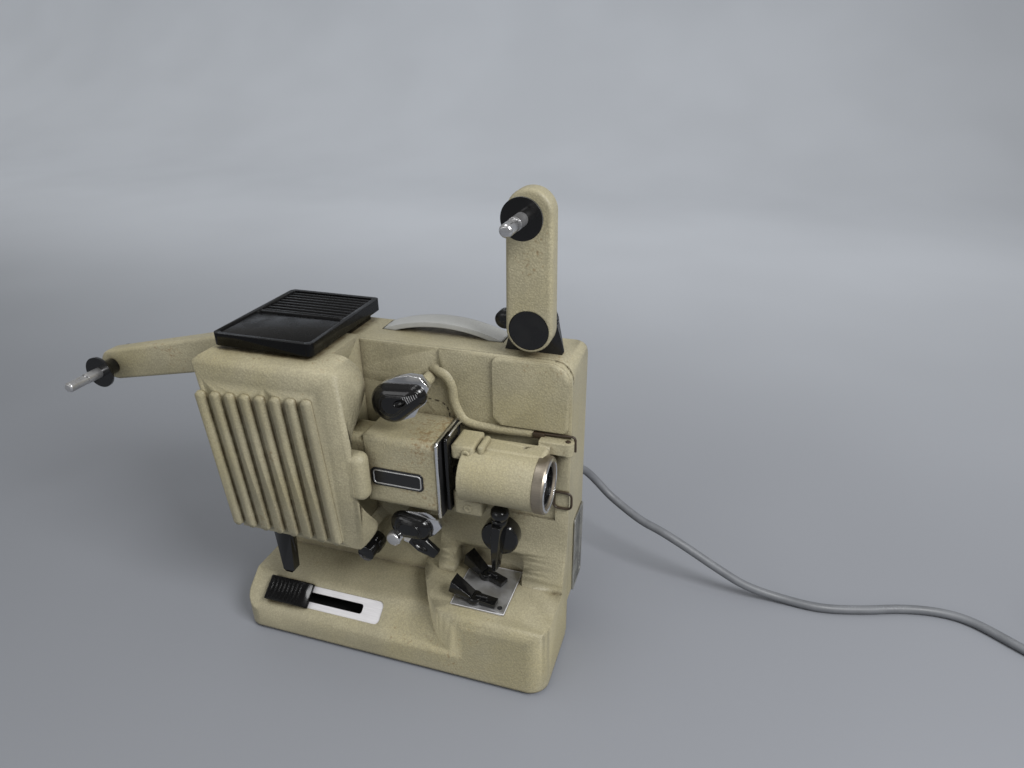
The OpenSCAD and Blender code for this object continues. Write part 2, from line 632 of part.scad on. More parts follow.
module rotary_switch() color([0.45, 0.3, 0.15]) difference() {
  union() {
    ycyl(knob_x, seam, 20, knob_z, 12);
    box(knob_x - 15, knob_x + 15, seam, 12, knob_z - 6, knob_z + 6);
  }
  ycyl(knob_x, 5, 21, knob_z, shaft_r + run);
}

// Film path
module sprocket(x, z) {
  ycyl(x, -23.4, 17, z, shaft_r);
  ycyl(x, -22.5, -13.5, z, drum_r);
  for (y = [-23, -14.3]) ycyl(x, y, y + 1.2, z, drum_r + 1);
  for (i = [0 : teeth - 1]) translate([x, -15.6, z]) rotate([0, i * 360 / teeth, 0]) translate([drum_r - 0.3, -0.5, -0.5]) cube([1.4, 1, 1]);
  ycyl(x, 12, 16, z, 8);
}
module upper_sprocket() color(grey) sprocket(up_x, up_z);
module lower_sprocket() color(grey) sprocket(low_x, low_z);
// Egg shaped guide cover: a large and a small end, domed to the front
module egg(a, b) hull() for (s = [[0, 0], [1, 1.2], [2.2, 3.4], [3, 6.5]]) {
  ycyl(a[0], -25 - s[0], -24.5, a[1], a[2] - s[1], $fn = 32);
  ycyl(b[0], -25 - s[0], -24.5, b[1], b[2] - s[1], $fn = 32);
}
module shoe(x, z, from, to) front(-23.6, -13.6) difference() {
  intersection() {
    translate([x, z]) circle(11);
    translate([x, z]) polygon([[0, 0], for (a = [from : (to - from) / 4 : to]) 16 * [cos(a), sin(a)]]);
  }
  translate([x, z]) circle(drum_r + 2.1);
}
module guide_pin(p) {
  ycyl(p[0], -24.2, seam + 1.6, p[1], pin_r);
  ycyl(p[0], seam + 0.3, seam + 1.3, p[1], 3.4);
}
module upper_guide() color(gloss_black) egg([up_x + 1.2, up_z + 2, 13], [up_x + 12.5, up_z + 4.5, 7.8]);
module upper_guide_shoe() color(chrome) {
  front(-24.5, -23.5) {
    translate([up_x + 2, up_z + 3]) circle(13.2);
    translate([up_x + 13.5, up_z + 9]) circle(9.8);
    polygon([[up_x - 2, up_z + 15.5], [up_x + 12, up_z + 18.8], [up_x + 23, up_z + 5.5], [up_x + 9, up_z - 8.5]]);
  }
  shoe(up_x, up_z, 32, 150);
  guide_pin(up_pin);
}
module lower_guide() color(gloss_black) difference() {
  union() {
    egg([low_x - 1.3, low_z - 0.9, 13.2], [low_x + 9.5, low_z + 2.5, 8]);
    hull() {
      ycyl(low_x + 2.5, -27, -24.5, low_z - 8.5, 4, $fn = 32);
      ycyl(low_x + 19.5, -26.5, -24.5, low_z - 15, 2.6, $fn = 32);
    }
  }
  ycyl(low_pin[0], -40, -20, low_pin[1], 4.7);
}
module lower_guide_shoe() color(chrome) {
  front(-24.5, -23.5) {
    translate([low_x - 0.9, low_z - 0.5]) circle(13.4);
    translate([low_x + 11, low_z + 4.5]) circle(9.6);
    polygon([[low_x - 2.5, low_z + 12.8], [low_x + 9.5, low_z + 13.9], [low_x + 20.5, low_z + 2.5], [low_x + 5.5, low_z - 12.3]]);
  }
  shoe(low_x, low_z, 238, 335);
  guide_pin(low_pin);
  ycyl(low_pin[0], -30.5, -24.4, low_pin[1], 4.6);
}
module inching_knob() color(gloss_black) {
  ycyl(inch_x, -23, -14, inch_z, 7);
  ycyl(inch_x, -32, -22.9, inch_z, 6);
  for (i = [0 : 11]) translate([inch_x, 0, inch_z]) rotate([0, i * 30, 0]) ycyl(6.2, -22, -15, 0, 1);
  ycyl(inch_x, -14.1, 17, inch_z, main_r);
  ycyl(inch_x, 12, 15, inch_z, 7);
}

// Controls
module main_knob() color(gloss_black) {
  ycyl(knob_x, -17, -6, knob_z, knob_r);
  ycyl(knob_x, -6.1, 17, knob_z, shaft_r);
  translate([knob_x, 0, knob_z]) rotate([0, 5, 0]) {
    rbox(-4, 4, -28, -16.5, -24, 24, 1.5, 3.5, 1.5);
    ycyl(0, -20, -16, 25, 3);
    translate([0, -18, 25.5]) sphere(5.8);
  }
}
lever_pins = [[61.8, -6], [62, -31]];
lever_turn = [-19, -4];
plate_z = console_h + 1.2;
module switch_plate() color(grey) difference() {
  translate([0, 0, console_h]) linear_extrude(1.2) rr(46.4, 85, -38.7, 5.5, 2);
  for (p = lever_pins) translate([p[0], p[1], console_h - 1]) cylinder(h = 4, r = 2 + run);
}
module lever(i) translate([lever_pins[i][0], lever_pins[i][1], 0]) {
  translate([0, 0, console_h - 5]) cylinder(h = 9, r = 2);
  translate([0, 0, plate_z + 0.3]) cylinder(h = 4, r = 5.6);
  translate([0, 0, console_h - 6.6]) cylinder(h = 2, r = 3.6);
  rotate(lever_turn[i]) intersection() {
    translate([0, 3.6, 0]) rotate([90, 0, 0]) linear_extrude(7.2) translate([0, console_h]) polygon([[-17, 7], [-17.4, 11.4],
      [-15.5, 12.4], [-12.5, 11.8], [-5, 6.6], [5, 5.6], [15, 4.2], [15, 2.2], [4, 1.7], [-8, 1.7], [-13, 5]]);
    linear_extrude(90) polygon([[-18, -3.6], [0, -3.6], [15.4, -1.6], [15.4, 1.6], [0, 3.6], [-18, 3.6]]);
  }
}
module upper_lever() color(gloss_black) lever(0);
module lower_lever() color(gloss_black) lever(1);
module speed_plate() color(chrome) on_slope() difference() {
  translate([0, 0, -2]) linear_extrude(1) rr(-slot_l / 2 + 0.1, slot_l / 2 - 0.1, -slot_w / 2 + 0.1, slot_w / 2 - 0.1, 3.9);
  translate([0, 0, -3]) linear_extrude(3) rr(slider_x - 5, slider_x + slider_travel + 5, -3.5, 3.5, 2);
}
module speed_slider() color(gloss_black) on_slope() {
  translate([slider_x, 0, 0.3]) {
    rbox(-17.5, 17.5, -9, 9, 0, 3, 1, 1, 2);
    rbox(-15.5, 15.5, -7, 7, 2, 5.6, 1.5, 1.5, 2);
    for (x = [-12 : 4 : 12]) box(x - 0.8, x + 0.8, -6.4, 6.4, 5, 6.6);
  }
  box(slider_x - 3, slider_x + 3, -2.8, 2.8, -13, 0.5);
}

// Reel arms: flat castings on a bracket pin, with a hub, a spindle and a hinged tip
cap_r = 12.5;
module arm(len, ra, rb, cap) difference() {
  front(arm_f, arm_b) link2(ra, rb, len);
  if (cap) ycyl(0, arm_f - 1, arm_f + 2.6, 0, cap_r + run);
  ycyl(0, arm_f + 2.5, arm_b + 1, 0, pivot_r + run);
  ycyl(0, arm_f - 1, arm_b + 1, len, shaft_r + run);
}
module hub() difference() {
  union() {
    ycyl(0, -10, -8, 0, flange_r);
    ycyl(0, -8.1, 3.7, 0, 6);
    ycyl(0, plate_f, 19.3, 0, 10);
    ycyl(0, 19.2, 23, 0, 8.6);
    ycyl(0, 22.9, 24, 0, 10);
  }
  ycyl(0, -11, 25, 0, shaft_r - 0.05);
}
module spindle() difference() {
  union() {
    ycyl(0, -22, -10, 0, spindle_r);
    ycyl(0, -10.1, 24.6, 0, shaft_r - 0.05);
    intersection() {
      box(-1.2, 1.2, tip_y - 3, -21, -3.2, 3.2);
      rotate([0, 90, 0]) translate([0, 0, -2]) linear_extrude(4) {
        translate([0, tip_y]) circle(2.9);
        translate([-2.9, tip_y]) square([5.8, 6]);
      }
    }
  }
  xcyl(-3, 3, tip_y, 0, 1 + run);
}
module tip() {
  difference() {
    union() {
      intersection() {
        ycyl(0, -30, -21, 0, tip_r);
        union() {
          xcyl(-5, 5, tip_y, 0, 2.9);
          box(-5, 5, -31, tip_y, -2.9, 2.9);
        }
      }
      ycyl(0, -36.5, -29.5, 0, tip_r);
      translate([0, -36.5, 0]) rotate([90, 0, 0]) cylinder(h = 1.5, r1 = tip_r, r2 = tip_r - 1.2);
    }
    box(-1.5, 1.5, -29.2, -20, -5, 5);
  }
  xcyl(-3.4, 3.4, tip_y, 0, 1);
}
module feed_at() translate([feed_x, 0, feed_z]) children();
module take_at() translate([take_x, 0, take_z]) children();
module feed_end() translate([feed_x, 0, feed_z + feed_len]) children();
module take_end() translate([take_end[0], 0, take_end[1]]) children();

module feed_arm() color(paint) feed_at() arm(feed_len, 14.5, 14, true);
module takeup_arm() color(paint) take_at() rotate([0, -90 - take_a, 0]) arm(take_len, 13.5, 12, false);
module feed_hub() color(gloss_black) feed_end() hub();
module takeup_hub() color(gloss_black) take_end() hub();
module feed_spindle() color(chrome) feed_end() spindle();
module takeup_spindle() color(chrome) take_end() spindle();
module feed_tip() color(chrome) feed_end() tip();
module takeup_tip() color(chrome) take_end() tip();

module arm_brackets() color(gloss_black) {
  feed_bracket();
  takeup_bracket();
}
module feed_bracket() {
  difference() {
    front(plate_f, plate_f + 6) {
      translate([feed_x, feed_z]) circle(14);
      polygon([[69.7, body_h], [107, body_h], [103.3, feed_z], [feed_x - 14, feed_z]]);
      translate([feed_x - 20, feed_z]) circle(6);
      translate([feed_x - 20, feed_z - 6]) square([10, 12]);
    }
    ycyl(feed_x - 20, plate_f - 1, plate_f + 7, feed_z, 2);
  }
  ycyl(feed_x, arm_f + 2, plate_f + 0.1, feed_z, pivot_r);
  ycyl(feed_x, arm_f + 0.4, arm_f + 2.5, feed_z, cap_r);
  ycyl(feed_x - 20, plate_f - 0.2, plate_f + 6.5, feed_z, 2);
}
module takeup_bracket() {
  front(plate_f, plate_f + 6) {
    translate([take_x, take_z]) circle(13);
    polygon([[-x1, take_z - 21.5], [-x1, take_z + 19.5], [take_x + 6, take_z + 12], [take_x, take_z - 13]]);
  }
  ycyl(take_x, arm_f + 3, plate_f + 0.1, take_z, pivot_r);
}

// Carrying handle: an arched strap on two studs that pull up out of the cover
handle_x = [-18, 62];
handle_r = (pow(44, 2) + pow(handle_rise, 2)) / (2 * handle_rise);
module handle() color(grey) {
  difference() {
    intersection() {
      ycyl(22, 27, 43, body_h + handle_rise - handle_r, handle_r);
      box(-22, 66, 20, 50, body_h + 0.1, body_h + 20);
    }
    difference() {
      ycyl(22, 26, 44, body_h + handle_rise - handle_r, handle_r - 3.4);
      for (x = handle_x) box(x - 4, x + 4, 20, 50, body_h - 1, body_h + 20);
    }
  }
  for (x = handle_x) translate([x, 35, 0]) {
    translate([0, 0, body_h - 17]) cylinder(h = 18, r = 2.5);
    translate([0, 0, body_h - 19]) cylinder(h = 2.5, r = 4.5);
  }
}

// Mains cord: strain relief, free run, coil and plug
module cord_gland() color(dark) difference() {
  union() {
    ycyl(gland[0], y1, y1 + 2, gland[1], 8);
    ycyl(gland[0], y1 - 8, y1 + 0.1, gland[1], 5);
    ycyl(gland[0], y1 - 8, y1 - 4, gland[1], 6.5);
    translate([gland[0], y1 + 24, gland[1]]) rotate([90, 0, 0]) cylinder(h = 22.1, r1 = cord_r + 1, r2 = cord_r + 3.4);
  }
  ycyl(gland[0], y1 - 10, y1 + 25, gland[1], cord_r + 0.1);
}
route = [[99.5, 46, 95.8], [99.5, 58, 95.8], [99.5, 68, 95.8], [99.5, 76, 95.8], [100.3, 86.2, 94.5], [102.7, 95.6, 90.9],
  [106.5, 103.3, 85.2], [111.4, 108.7, 77.8], [118.6, 111.4, 68.7], [131, 110, 57.8], [154.9, 100.7, 48.2],
  [174, 93, 45.4], [193.6, 89.6, 37.6], [220, 88.5, 23.2], [242, 89, 11.8], [267, 91, 4.8], [297.5, 90, 3.6],
  [327, 96.4, 3.6], [358.7, 107, 3.6], [385.3, 111, 3.6], [407.2, 106.4, 3.6], [434, 88.4, 3.6], [450, 77.6, 3.6],
  [467, 69.8, 3.6], [484, 67, 3.6], [493, 67, 3.6], [500, 67, 3.6]];
// Coil: a layer that winds in, a short climb inside it and a layer that winds out on top
in_a = 900;
climb_a = 120;
out_a = 790;
exit_a = 110;
coil_z = cord_r + 0.3;
function coil_at(a) = let (
    b = a - in_a, c = b - climb_a, d = c - out_a,
    r = coil_r - coil_pitch * min(a, in_a + climb_a) / 360 + coil_pitch * max(min(c, out_a), 0) / 360
      + 4 * max(min(c / 180, 1), 0) + 15 * pow(max(d, 0) / exit_a, 2),
    z = coil_z + (cord_d + 0.6) * max(min(b / climb_a, 1), 0) - (cord_d + 0.6) * max(min((d - 45) / 60, 1), 0))
  [coil_c[0] + r * cos(a - 90), coil_c[1] + r * sin(a - 90), z];
coil_end = in_a + climb_a + out_a + exit_a;
coil_pts = [for (i = [0 : round(coil_end / 15)]) coil_at(i * 15)];
last_p = coil_pts[len(coil_pts) - 1];
last_d = unit([last_p[0], last_p[1], 0] - [coil_pts[len(coil_pts) - 2][0], coil_pts[len(coil_pts) - 2][1], 0]);
coil_line = concat(coil_pts, [last_p + 7 * last_d]);
plug_p = last_p + 7 * last_d;
// Least gap of the coil to itself: straight pieces between points at least 150 degrees of winding apart
function near_line(p, a, b) = norm(p - a - (b - a) * max(0, min(1, (p - a) * (b - a) / ((b - a) * (b - a)))));
coil_gap = min([for (i = [0 : len(coil_line) - 11]) for (j = [i + 10 : len(coil_line) - 2])
  near_line(coil_line[i], coil_line[j], coil_line[j + 1])]) - cord_d;
echo(coil_gap = coil_gap);
plug_a = atan2(last_d[1], last_d[0]);

// Tube of n sides swept along points
module tube(p, r, n, up = [0, 0, 1]) {
  m = len(p);
  dir = [for (i = [0 : m - 1]) unit(p[min(i + 1, m - 1)] - p[max(i - 1, 0)])];
  pts = [for (i = [0 : m - 1]) let (s = unit(cross(dir[i], up))) for (k = [0 : n - 1])
    p[i] + r * (cos(k * 360 / n) * s + sin(k * 360 / n) * cross(s, dir[i]))];
  polyhedron(pts, concat([[for (k = [0 : n - 1]) k]], [for (i = [0 : m - 2]) for (k = [0 : n - 1])
    each let (a = i * n + k, b = i * n + (k + 1) % n) [[a, a + n, b + n], [a, b + n, b]]],
    [[for (k = [n - 1 : -1 : 0]) (m - 1) * n + k]]));
}
module cord_run() color(grey) tube(spline(route, 3), cord_r, 8);
module cord_coil() color(grey) tube(coil_line, cord_r, 6);
module plug() color(dark) translate([plug_p[0], plug_p[1], coil_z]) rotate(plug_a) {
  rbox(16, 38, -13, 13, -coil_z, 10, 3, 4, 4);
  difference() {
    rotate([0, 90, 0]) cylinder(h = 17, r1 = cord_r + 0.2, r2 = cord_r + 2);
    translate([-5, -20, -10 - coil_z]) cube([30, 40, 10]);
  }
  for (y = [-9.5, 9.5]) translate([37, y, 3]) rotate([0, 90, 0]) cylinder(h = 20, r = 2);
}

front_casting();
rear_cover();
base_plate();
feet();
vent_grille();
top_grille();
condenser_housing();
name_plate();
condenser_lenses();
film_gate();
lamp_socket();
lamp();
reflector();
switch_plate();
speed_plate();
arm_brackets();
motor();
transformer();
bearing_blocks();
drive_belt();
rotary_switch();
cover_screws();
carrier_hinge();
carrier_spring();
cord_gland();
cord_run();
cord_coil();
plug();
lamp_cover();
cover_latch();
claw();
motor_rotor();
main_shaft();
shutter_shaft();
shutter_disc();
upper_sprocket();
lower_sprocket();
upper_guide();
upper_guide_shoe();
lower_guide();
lower_guide_shoe();
inching_knob();
main_knob();
upper_lever();
lower_lever();
speed_slider();
lens_carrier();
pressure_plate();
focus_ring();
lens_barrel();
lens_glass();
feed_arm();
feed_hub();
feed_spindle();
feed_tip();
takeup_arm();
takeup_hub();
takeup_spindle();
takeup_tip();
handle();
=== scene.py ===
import json
import math
import bmesh
import bpy
from mathutils import Matrix, Vector
from mathutils.bvhtree import BVHTree


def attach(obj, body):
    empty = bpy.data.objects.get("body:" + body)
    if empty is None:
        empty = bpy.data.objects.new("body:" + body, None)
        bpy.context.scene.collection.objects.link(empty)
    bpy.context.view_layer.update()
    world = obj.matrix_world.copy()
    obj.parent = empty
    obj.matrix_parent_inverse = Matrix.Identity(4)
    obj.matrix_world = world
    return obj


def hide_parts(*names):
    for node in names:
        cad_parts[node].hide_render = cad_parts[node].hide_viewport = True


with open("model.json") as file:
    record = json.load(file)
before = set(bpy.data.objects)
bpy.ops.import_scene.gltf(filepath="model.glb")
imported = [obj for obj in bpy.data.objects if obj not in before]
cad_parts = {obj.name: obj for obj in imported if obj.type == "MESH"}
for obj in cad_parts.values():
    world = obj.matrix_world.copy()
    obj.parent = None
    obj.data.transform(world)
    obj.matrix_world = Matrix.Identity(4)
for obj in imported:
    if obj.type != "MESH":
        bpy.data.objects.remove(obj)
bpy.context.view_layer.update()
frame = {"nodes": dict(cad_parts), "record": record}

# Pieces are drawn in millimetres in the CAD's frame: X to the right, Y away from the viewer, Z up.
# Shaders, lights and the floor are in metres, as Blender is.
METRES = 0.001                  # one millimetre in metres
WELD_REACH = 2e-6               # in metres
BODIES = frame["record"]["behaviour"]["bodies"]
BODY_OF = {node: body for body, nodes in BODIES.items() for node in nodes}


def add_object(name, data):
    made = bpy.data.objects.new(name, data)
    bpy.context.scene.collection.objects.link(made)
    return made


# ---------------------------------------------------------------- camera

CAMERA_TURN, CAMERA_TILT, CAMERA_ROLL = 17.91, 26.02, -0.58
CAMERA_PLACE = (200.7, -373.6, 398.5)
FOCAL_LENGTH, SENSOR_WIDTH = 24.78, 36


def set_camera():
    turn, tilt, roll = (math.radians(a) for a in (CAMERA_TURN, CAMERA_TILT, CAMERA_ROLL))
    back = Vector((math.sin(turn) * math.cos(tilt), -math.cos(turn) * math.cos(tilt),
                   math.sin(tilt)))
    right = Vector((math.cos(turn), math.sin(turn), 0))
    up = back.cross(right)
    right, up = (right * math.cos(roll) + up * math.sin(roll),
                 up * math.cos(roll) - right * math.sin(roll))
    camera = add_object("camera", bpy.data.cameras.new("camera"))
    camera.matrix_world = Matrix((right, up, back)).transposed().to_4x4()
    camera.location = Vector(CAMERA_PLACE) * METRES
    camera.data.lens = FOCAL_LENGTH
    camera.data.sensor_width = SENSOR_WIDTH
    camera.data.clip_start = 0.01
    bpy.context.scene.camera = camera


set_camera()


# ---------------------------------------------------------------- shader groups

class Tree:
    """A node tree with short calls for adding and joining nodes."""

    def __init__(self, tree):
        self.tree = tree

    def add(self, kind, inputs=None, **settings):
        node = self.tree.nodes.new("ShaderNode" + kind)
        for key, value in settings.items():
            setattr(node, key, value)
        for key, value in (inputs or {}).items():
            self.join(value, node.inputs[key])
        return node

    def join(self, value, socket):
        if isinstance(value, bpy.types.NodeSocket):
            self.tree.links.new(value, socket)
        else:
            socket.default_value = value

    def math(self, operation, a, b, clamp=False):
        return self.add("Math", {0: a, 1: b}, operation=operation, use_clamp=clamp).outputs[0]

    def ramp(self, value, low, high, to_low=0.0, to_high=1.0):
        inputs = {"Value": value, "From Min": low, "From Max": high,
                  "To Min": to_low, "To Max": to_high}
        return self.add("MapRange", inputs, interpolation_type="SMOOTHSTEP").outputs["Result"]

    def mix(self, factor, a, b):
        node = self.add("Mix", data_type="RGBA", blend_type="MIX")
        for key, value in ((0, factor), (6, a), (7, b)):
            self.join(value, node.inputs[key])
        return node.outputs[2]

    def noise(self, where, scale, detail, roughness=0.55):
        inputs = {"Vector": where, "Scale": scale, "Detail": detail, "Roughness": roughness}
        return self.add("TexNoise", inputs).outputs["Fac"]


def new_group(name, inputs, outputs):
    group = bpy.data.node_groups.new(name, "ShaderNodeTree")
    for label, value in inputs.items():
        kind = "NodeSocketVector" if isinstance(value, tuple) else "NodeSocketFloat"
        group.interface.new_socket(label, in_out="INPUT", socket_type=kind).default_value = value
    for label in outputs:
        group.interface.new_socket(label, in_out="OUTPUT", socket_type="NodeSocketFloat")
    tree = Tree(group)
    source = group.nodes.new("NodeGroupInput").outputs
    sink = group.nodes.new("NodeGroupOutput").inputs
    where = tree.add("TexCoord").outputs["Object"]
    return group, tree, source, sink, where


def edge_wear_group():
    """Mask of rubbed edges: strong where the rounded normal leaves the face normal."""
    group, tree, source, sink, where = new_group(
        "edge_wear", {"Rounded": (0.0, 0.0, 1.0), "Grain": 260.0, "Amount": 0.5}, ["Mask"])
    plain = tree.add("NewGeometry").outputs["Normal"]
    facing = tree.add("VectorMath", {0: source["Rounded"], 1: plain}, operation="DOT_PRODUCT")
    edge = tree.ramp(facing.outputs["Value"], 0.97, 0.8)
    patches = tree.noise(where, source["Grain"], 4.0, 0.65)
    shown = tree.ramp(tree.math("ADD", patches, source["Amount"]), 0.85, 1.15)
    tree.join(tree.math("MULTIPLY", edge, shown), sink["Mask"])
    return group


def speckle_group():
    """Small stains and specks that gather in soft patches."""
    group, tree, source, sink, where = new_group(
        "speckle", {"Patch": 30.0, "Speck": 600.0, "Amount": 0.4}, ["Mask", "Cloud"])
    cloud = tree.noise(where, source["Patch"], 4.0, 0.6)
    specks = tree.noise(where, source["Speck"], 3.0, 0.7)
    total = tree.math("ADD", tree.math("MULTIPLY", cloud, 0.6), tree.math("MULTIPLY", specks, 0.6))
    total = tree.math("ADD", total, tree.math("MULTIPLY", source["Amount"], 0.5))
    tree.join(tree.ramp(total, 0.82, 0.98), sink["Mask"])
    tree.join(cloud, sink["Cloud"])
    return group


def dirt_and_shade_group():
    """Brown dirt and painted shade that darken grooves and corners, found by ambient occlusion."""
    group, tree, source, sink, where = new_group("dirt_and_shade", {"Reach": 0.006, "Amount": 0.7}, ["Mask"])
    open_sky = tree.add("AmbientOcclusion", {"Distance": source["Reach"]}, samples=6).outputs["AO"]
    # painted shade: darker where ambient occlusion sees little open sky
    corner_shade = tree.ramp(open_sky, 0.8, 0.3)
    patches = tree.ramp(tree.noise(where, 120.0, 4.0, 0.65), 0.3, 0.65, 0.45, 1.0)
    shaded_dirt = tree.math("MULTIPLY", corner_shade, patches)
    tree.join(tree.math("MULTIPLY", shaded_dirt, source["Amount"]), sink["Mask"])
    return group


def dust_group():
    """Dust that settles on faces turned upwards."""
    group, tree, source, sink, where = new_group("dust", {"Grain": 900.0, "Amount": 0.5}, ["Mask"])
    normal = tree.add("NewGeometry").outputs["Normal"]
    up = tree.ramp(tree.add("SeparateXYZ", {0: normal}).outputs["Z"], 0.2, 1.0)
    soft = tree.ramp(tree.noise(where, 45.0, 4.0), 0.35, 0.7)
    fine = tree.ramp(tree.noise(where, source["Grain"], 2.0), 0.4, 0.7)
    amount = tree.math("MULTIPLY", tree.math("MULTIPLY", soft, fine), source["Amount"])
    tree.join(tree.math("MULTIPLY", up, amount, True), sink["Mask"])
    return group


def skin_group():
    """Height of the sprayed wrinkle paint: flat cells with soft dips, and a fine grain; and a mask
    of painted shade for the dips.
    """
    group, tree, source, sink, where = new_group(
        "wrinkle_skin", {"Cell": 760.0, "Grain": 2600.0}, ["Height", "Dip_Shade"])
    wobble = tree.add("TexNoise", {"Vector": where, "Scale": 300.0, "Detail": 2.0}).outputs["Color"]
    reach = (0.0018, 0.0018, 0.0018)
    shift = tree.add("VectorMath", {0: wobble, 1: reach}, operation="MULTIPLY").outputs[0]
    bent = tree.add("VectorMath", {0: where, 1: shift}, operation="ADD").outputs[0]
    cells = tree.add("TexVoronoi", {"Vector": bent, "Scale": source["Cell"], "Smoothness": 0.5},
                     feature="SMOOTH_F1").outputs["Distance"]
    grain = tree.noise(where, source["Grain"], 2.0)
    tree.join(tree.math("ADD", cells, tree.math("MULTIPLY", grain, 0.4)), sink["Height"])
    # mask of painted shade for the dips
    tree.join(tree.ramp(cells, 0.3, 0.62), sink["Dip_Shade"])
    return group


EDGE_WEAR = edge_wear_group()
SPECKLE = speckle_group()
DIRT_AND_SHADE = dirt_and_shade_group()
DUST = dust_group()
SKIN = skin_group()


# ---------------------------------------------------------------- materials

BEIGE_PAINT = (0.312, 0.284, 0.193, 1)
RUST_BROWN = (0.16, 0.092, 0.032, 1)
# colour of the dirt and painted shade in grooves and corners
SHADE_AND_DIRT_BROWN = (0.085, 0.062, 0.03, 1)
RUBBED_PAINT = (0.40, 0.37, 0.28, 1)
RUBBED_BLACK = (0.04, 0.037, 0.032, 1)
DUST_GREY = (0.10, 0.097, 0.088, 1)
RUST_PLACE = (0.035, -0.014, 0.174)     # on the condenser housing's top, by the gate
RUST_REACH, RUST_CORE = 0.034, 0.006
BRUSH_GRAIN = (60.0, 60.0, 2400.0)


def tone(base, share):
    return tuple(c * share for c in base[:3]) + (1.0,)


class Finish(Tree):
    """A material with one Principled shader; the rounding, in millimetres, softens its edges."""

    def __init__(self, name, rounding=0.0, **constants):
        self.material = bpy.data.materials.new(name)
        self.material.use_nodes = True
        super().__init__(self.material.node_tree)
        self.shader = self.tree.nodes["Principled BSDF"]
        for label, value in constants.items():
            self.shader.inputs[label.replace("_", " ")].default_value = value
        self.where = self.add("TexCoord").outputs["Object"]
        self.rounded = None
        if rounding:
            bevel = self.add("Bevel", {"Radius": rounding * METRES}, samples=6)
            self.rounded = bevel.outputs["Normal"]
            self.put("Normal", self.rounded)

    def group(self, group, **values):
        node = self.add("Group")
        node.node_tree = group
        for label, value in values.items():
            self.join(value, node.inputs[label])
        return node.outputs

    def put(self, label, value):
        self.tree.links.new(value, self.shader.inputs[label])

    def bump(self, height, strength, distance):
        inputs = {"Height": height, "Strength": strength, "Distance": distance}
        if self.rounded:
            inputs["Normal"] = self.rounded
        self.put("Normal", self.add("Bump", inputs).outputs["Normal"])


def paint_finish(name, rounding, stain=0.27, dirt_and_shade=0.8, reach=0.0065, rusty=False):
    """Beige wrinkle paint: yellowed patches, stains, painted shade in its dips, dirt and painted
    shade in corners, rubbed edges.
    """
    base = BEIGE_PAINT
    f = Finish(name, rounding, Specular_IOR_Level=0.4)
    skin = f.group(SKIN)
    if rusty:
        away = f.add("VectorMath", {0: f.where, 1: RUST_PLACE}, operation="DISTANCE")
        stain = f.ramp(away.outputs["Value"], RUST_REACH, RUST_CORE, stain, stain + 0.32)
    marks = f.group(SPECKLE, Patch=24.0, Speck=420.0, Amount=stain)
    color = f.mix(f.ramp(marks["Cloud"], 0.3, 0.7), tone(base, 0.84), tone(base, 1.12))
    yellowed = f.ramp(f.noise(f.where, 14.0, 3.0), 0.42, 0.72, 0.0, 0.65)
    color = f.mix(yellowed, color, (base[0] * 1.02, base[1] * 0.98, base[2] * 0.78, 1))
    # painted shade in the wrinkle skin's dips
    color = f.mix(f.math("MULTIPLY", skin["Dip_Shade"], 0.36), color, tone(base, 0.62))
    pale = f.ramp(f.noise(f.where, 1900.0, 2.0), 0.5, 0.68, 0.0, 0.45)
    color = f.mix(pale, color, tone(base, 1.4))
    color = f.mix(f.math("MULTIPLY", marks["Mask"], 0.7), color, RUST_BROWN)
    # dirt and painted shade darken grooves and corners
    color = f.mix(f.group(DIRT_AND_SHADE, Reach=reach, Amount=dirt_and_shade)["Mask"], color, SHADE_AND_DIRT_BROWN)
    wear = f.group(EDGE_WEAR, Rounded=f.rounded, Grain=180.0, Amount=0.28)["Mask"]
    f.put("Base Color", f.mix(f.math("MULTIPLY", wear, 0.5), color, RUBBED_PAINT))
    f.put("Roughness", f.ramp(marks["Cloud"], 0.25, 0.75, 0.42, 0.6))
    f.bump(skin["Height"], 0.6, 0.00028)
    return f.material


def black_finish(name, rounding=0.5, base=0.004, roughness=0.12, dust=0.03, shine=0.4):
    """Glossy black with smeared shine, a little dust on top and faintly rubbed edges."""
    f = Finish(name, rounding, Coat_Weight=shine * 0.5, Coat_Roughness=0.06,
               Specular_IOR_Level=shine)
    wear = f.group(EDGE_WEAR, Rounded=f.rounded, Grain=420.0, Amount=0.15)["Mask"]
    color = f.mix(f.math("MULTIPLY", wear, 0.25), (base, base, base * 1.08, 1), RUBBED_BLACK)
    f.put("Base Color", f.mix(f.group(DUST, Amount=dust)["Mask"], color, DUST_GREY))
    smear = f.noise(f.where, 85.0, 5.0)
    f.put("Roughness", f.ramp(smear, 0.3, 0.75, roughness * 0.7, roughness * 1.9))
    f.bump(f.noise(f.where, 1300.0, 2.0), 0.04, 0.0001)
    return f.material


def metal_finish(name, base, roughness, stain=0.15, brushed=0.15, haze=0.0):
    """Bare metal with fine turned or brushed lines; haze makes it less of a mirror."""
    f = Finish(name, 0.3, Metallic=1.0 - haze)
    stretched = f.add("Mapping", {"Vector": f.where, "Scale": BRUSH_GRAIN}, vector_type="POINT")
    lines = f.noise(stretched.outputs["Vector"], 1.0, 4.0, 0.6)
    marks = f.group(SPECKLE, Patch=60.0, Speck=700.0, Amount=stain)
    color = f.mix(f.ramp(lines, 0.3, 0.7), tone(base, 0.88), base)
    f.put("Base Color", f.mix(f.math("MULTIPLY", marks["Mask"], 0.5), color, tone(base, 0.4)))
    rough = min(roughness * 1.7, 0.8)
    f.put("Roughness", f.ramp(marks["Cloud"], 0.3, 0.7, roughness * 0.75, rough))
    f.bump(lines, brushed, 0.00008)
    return f.material


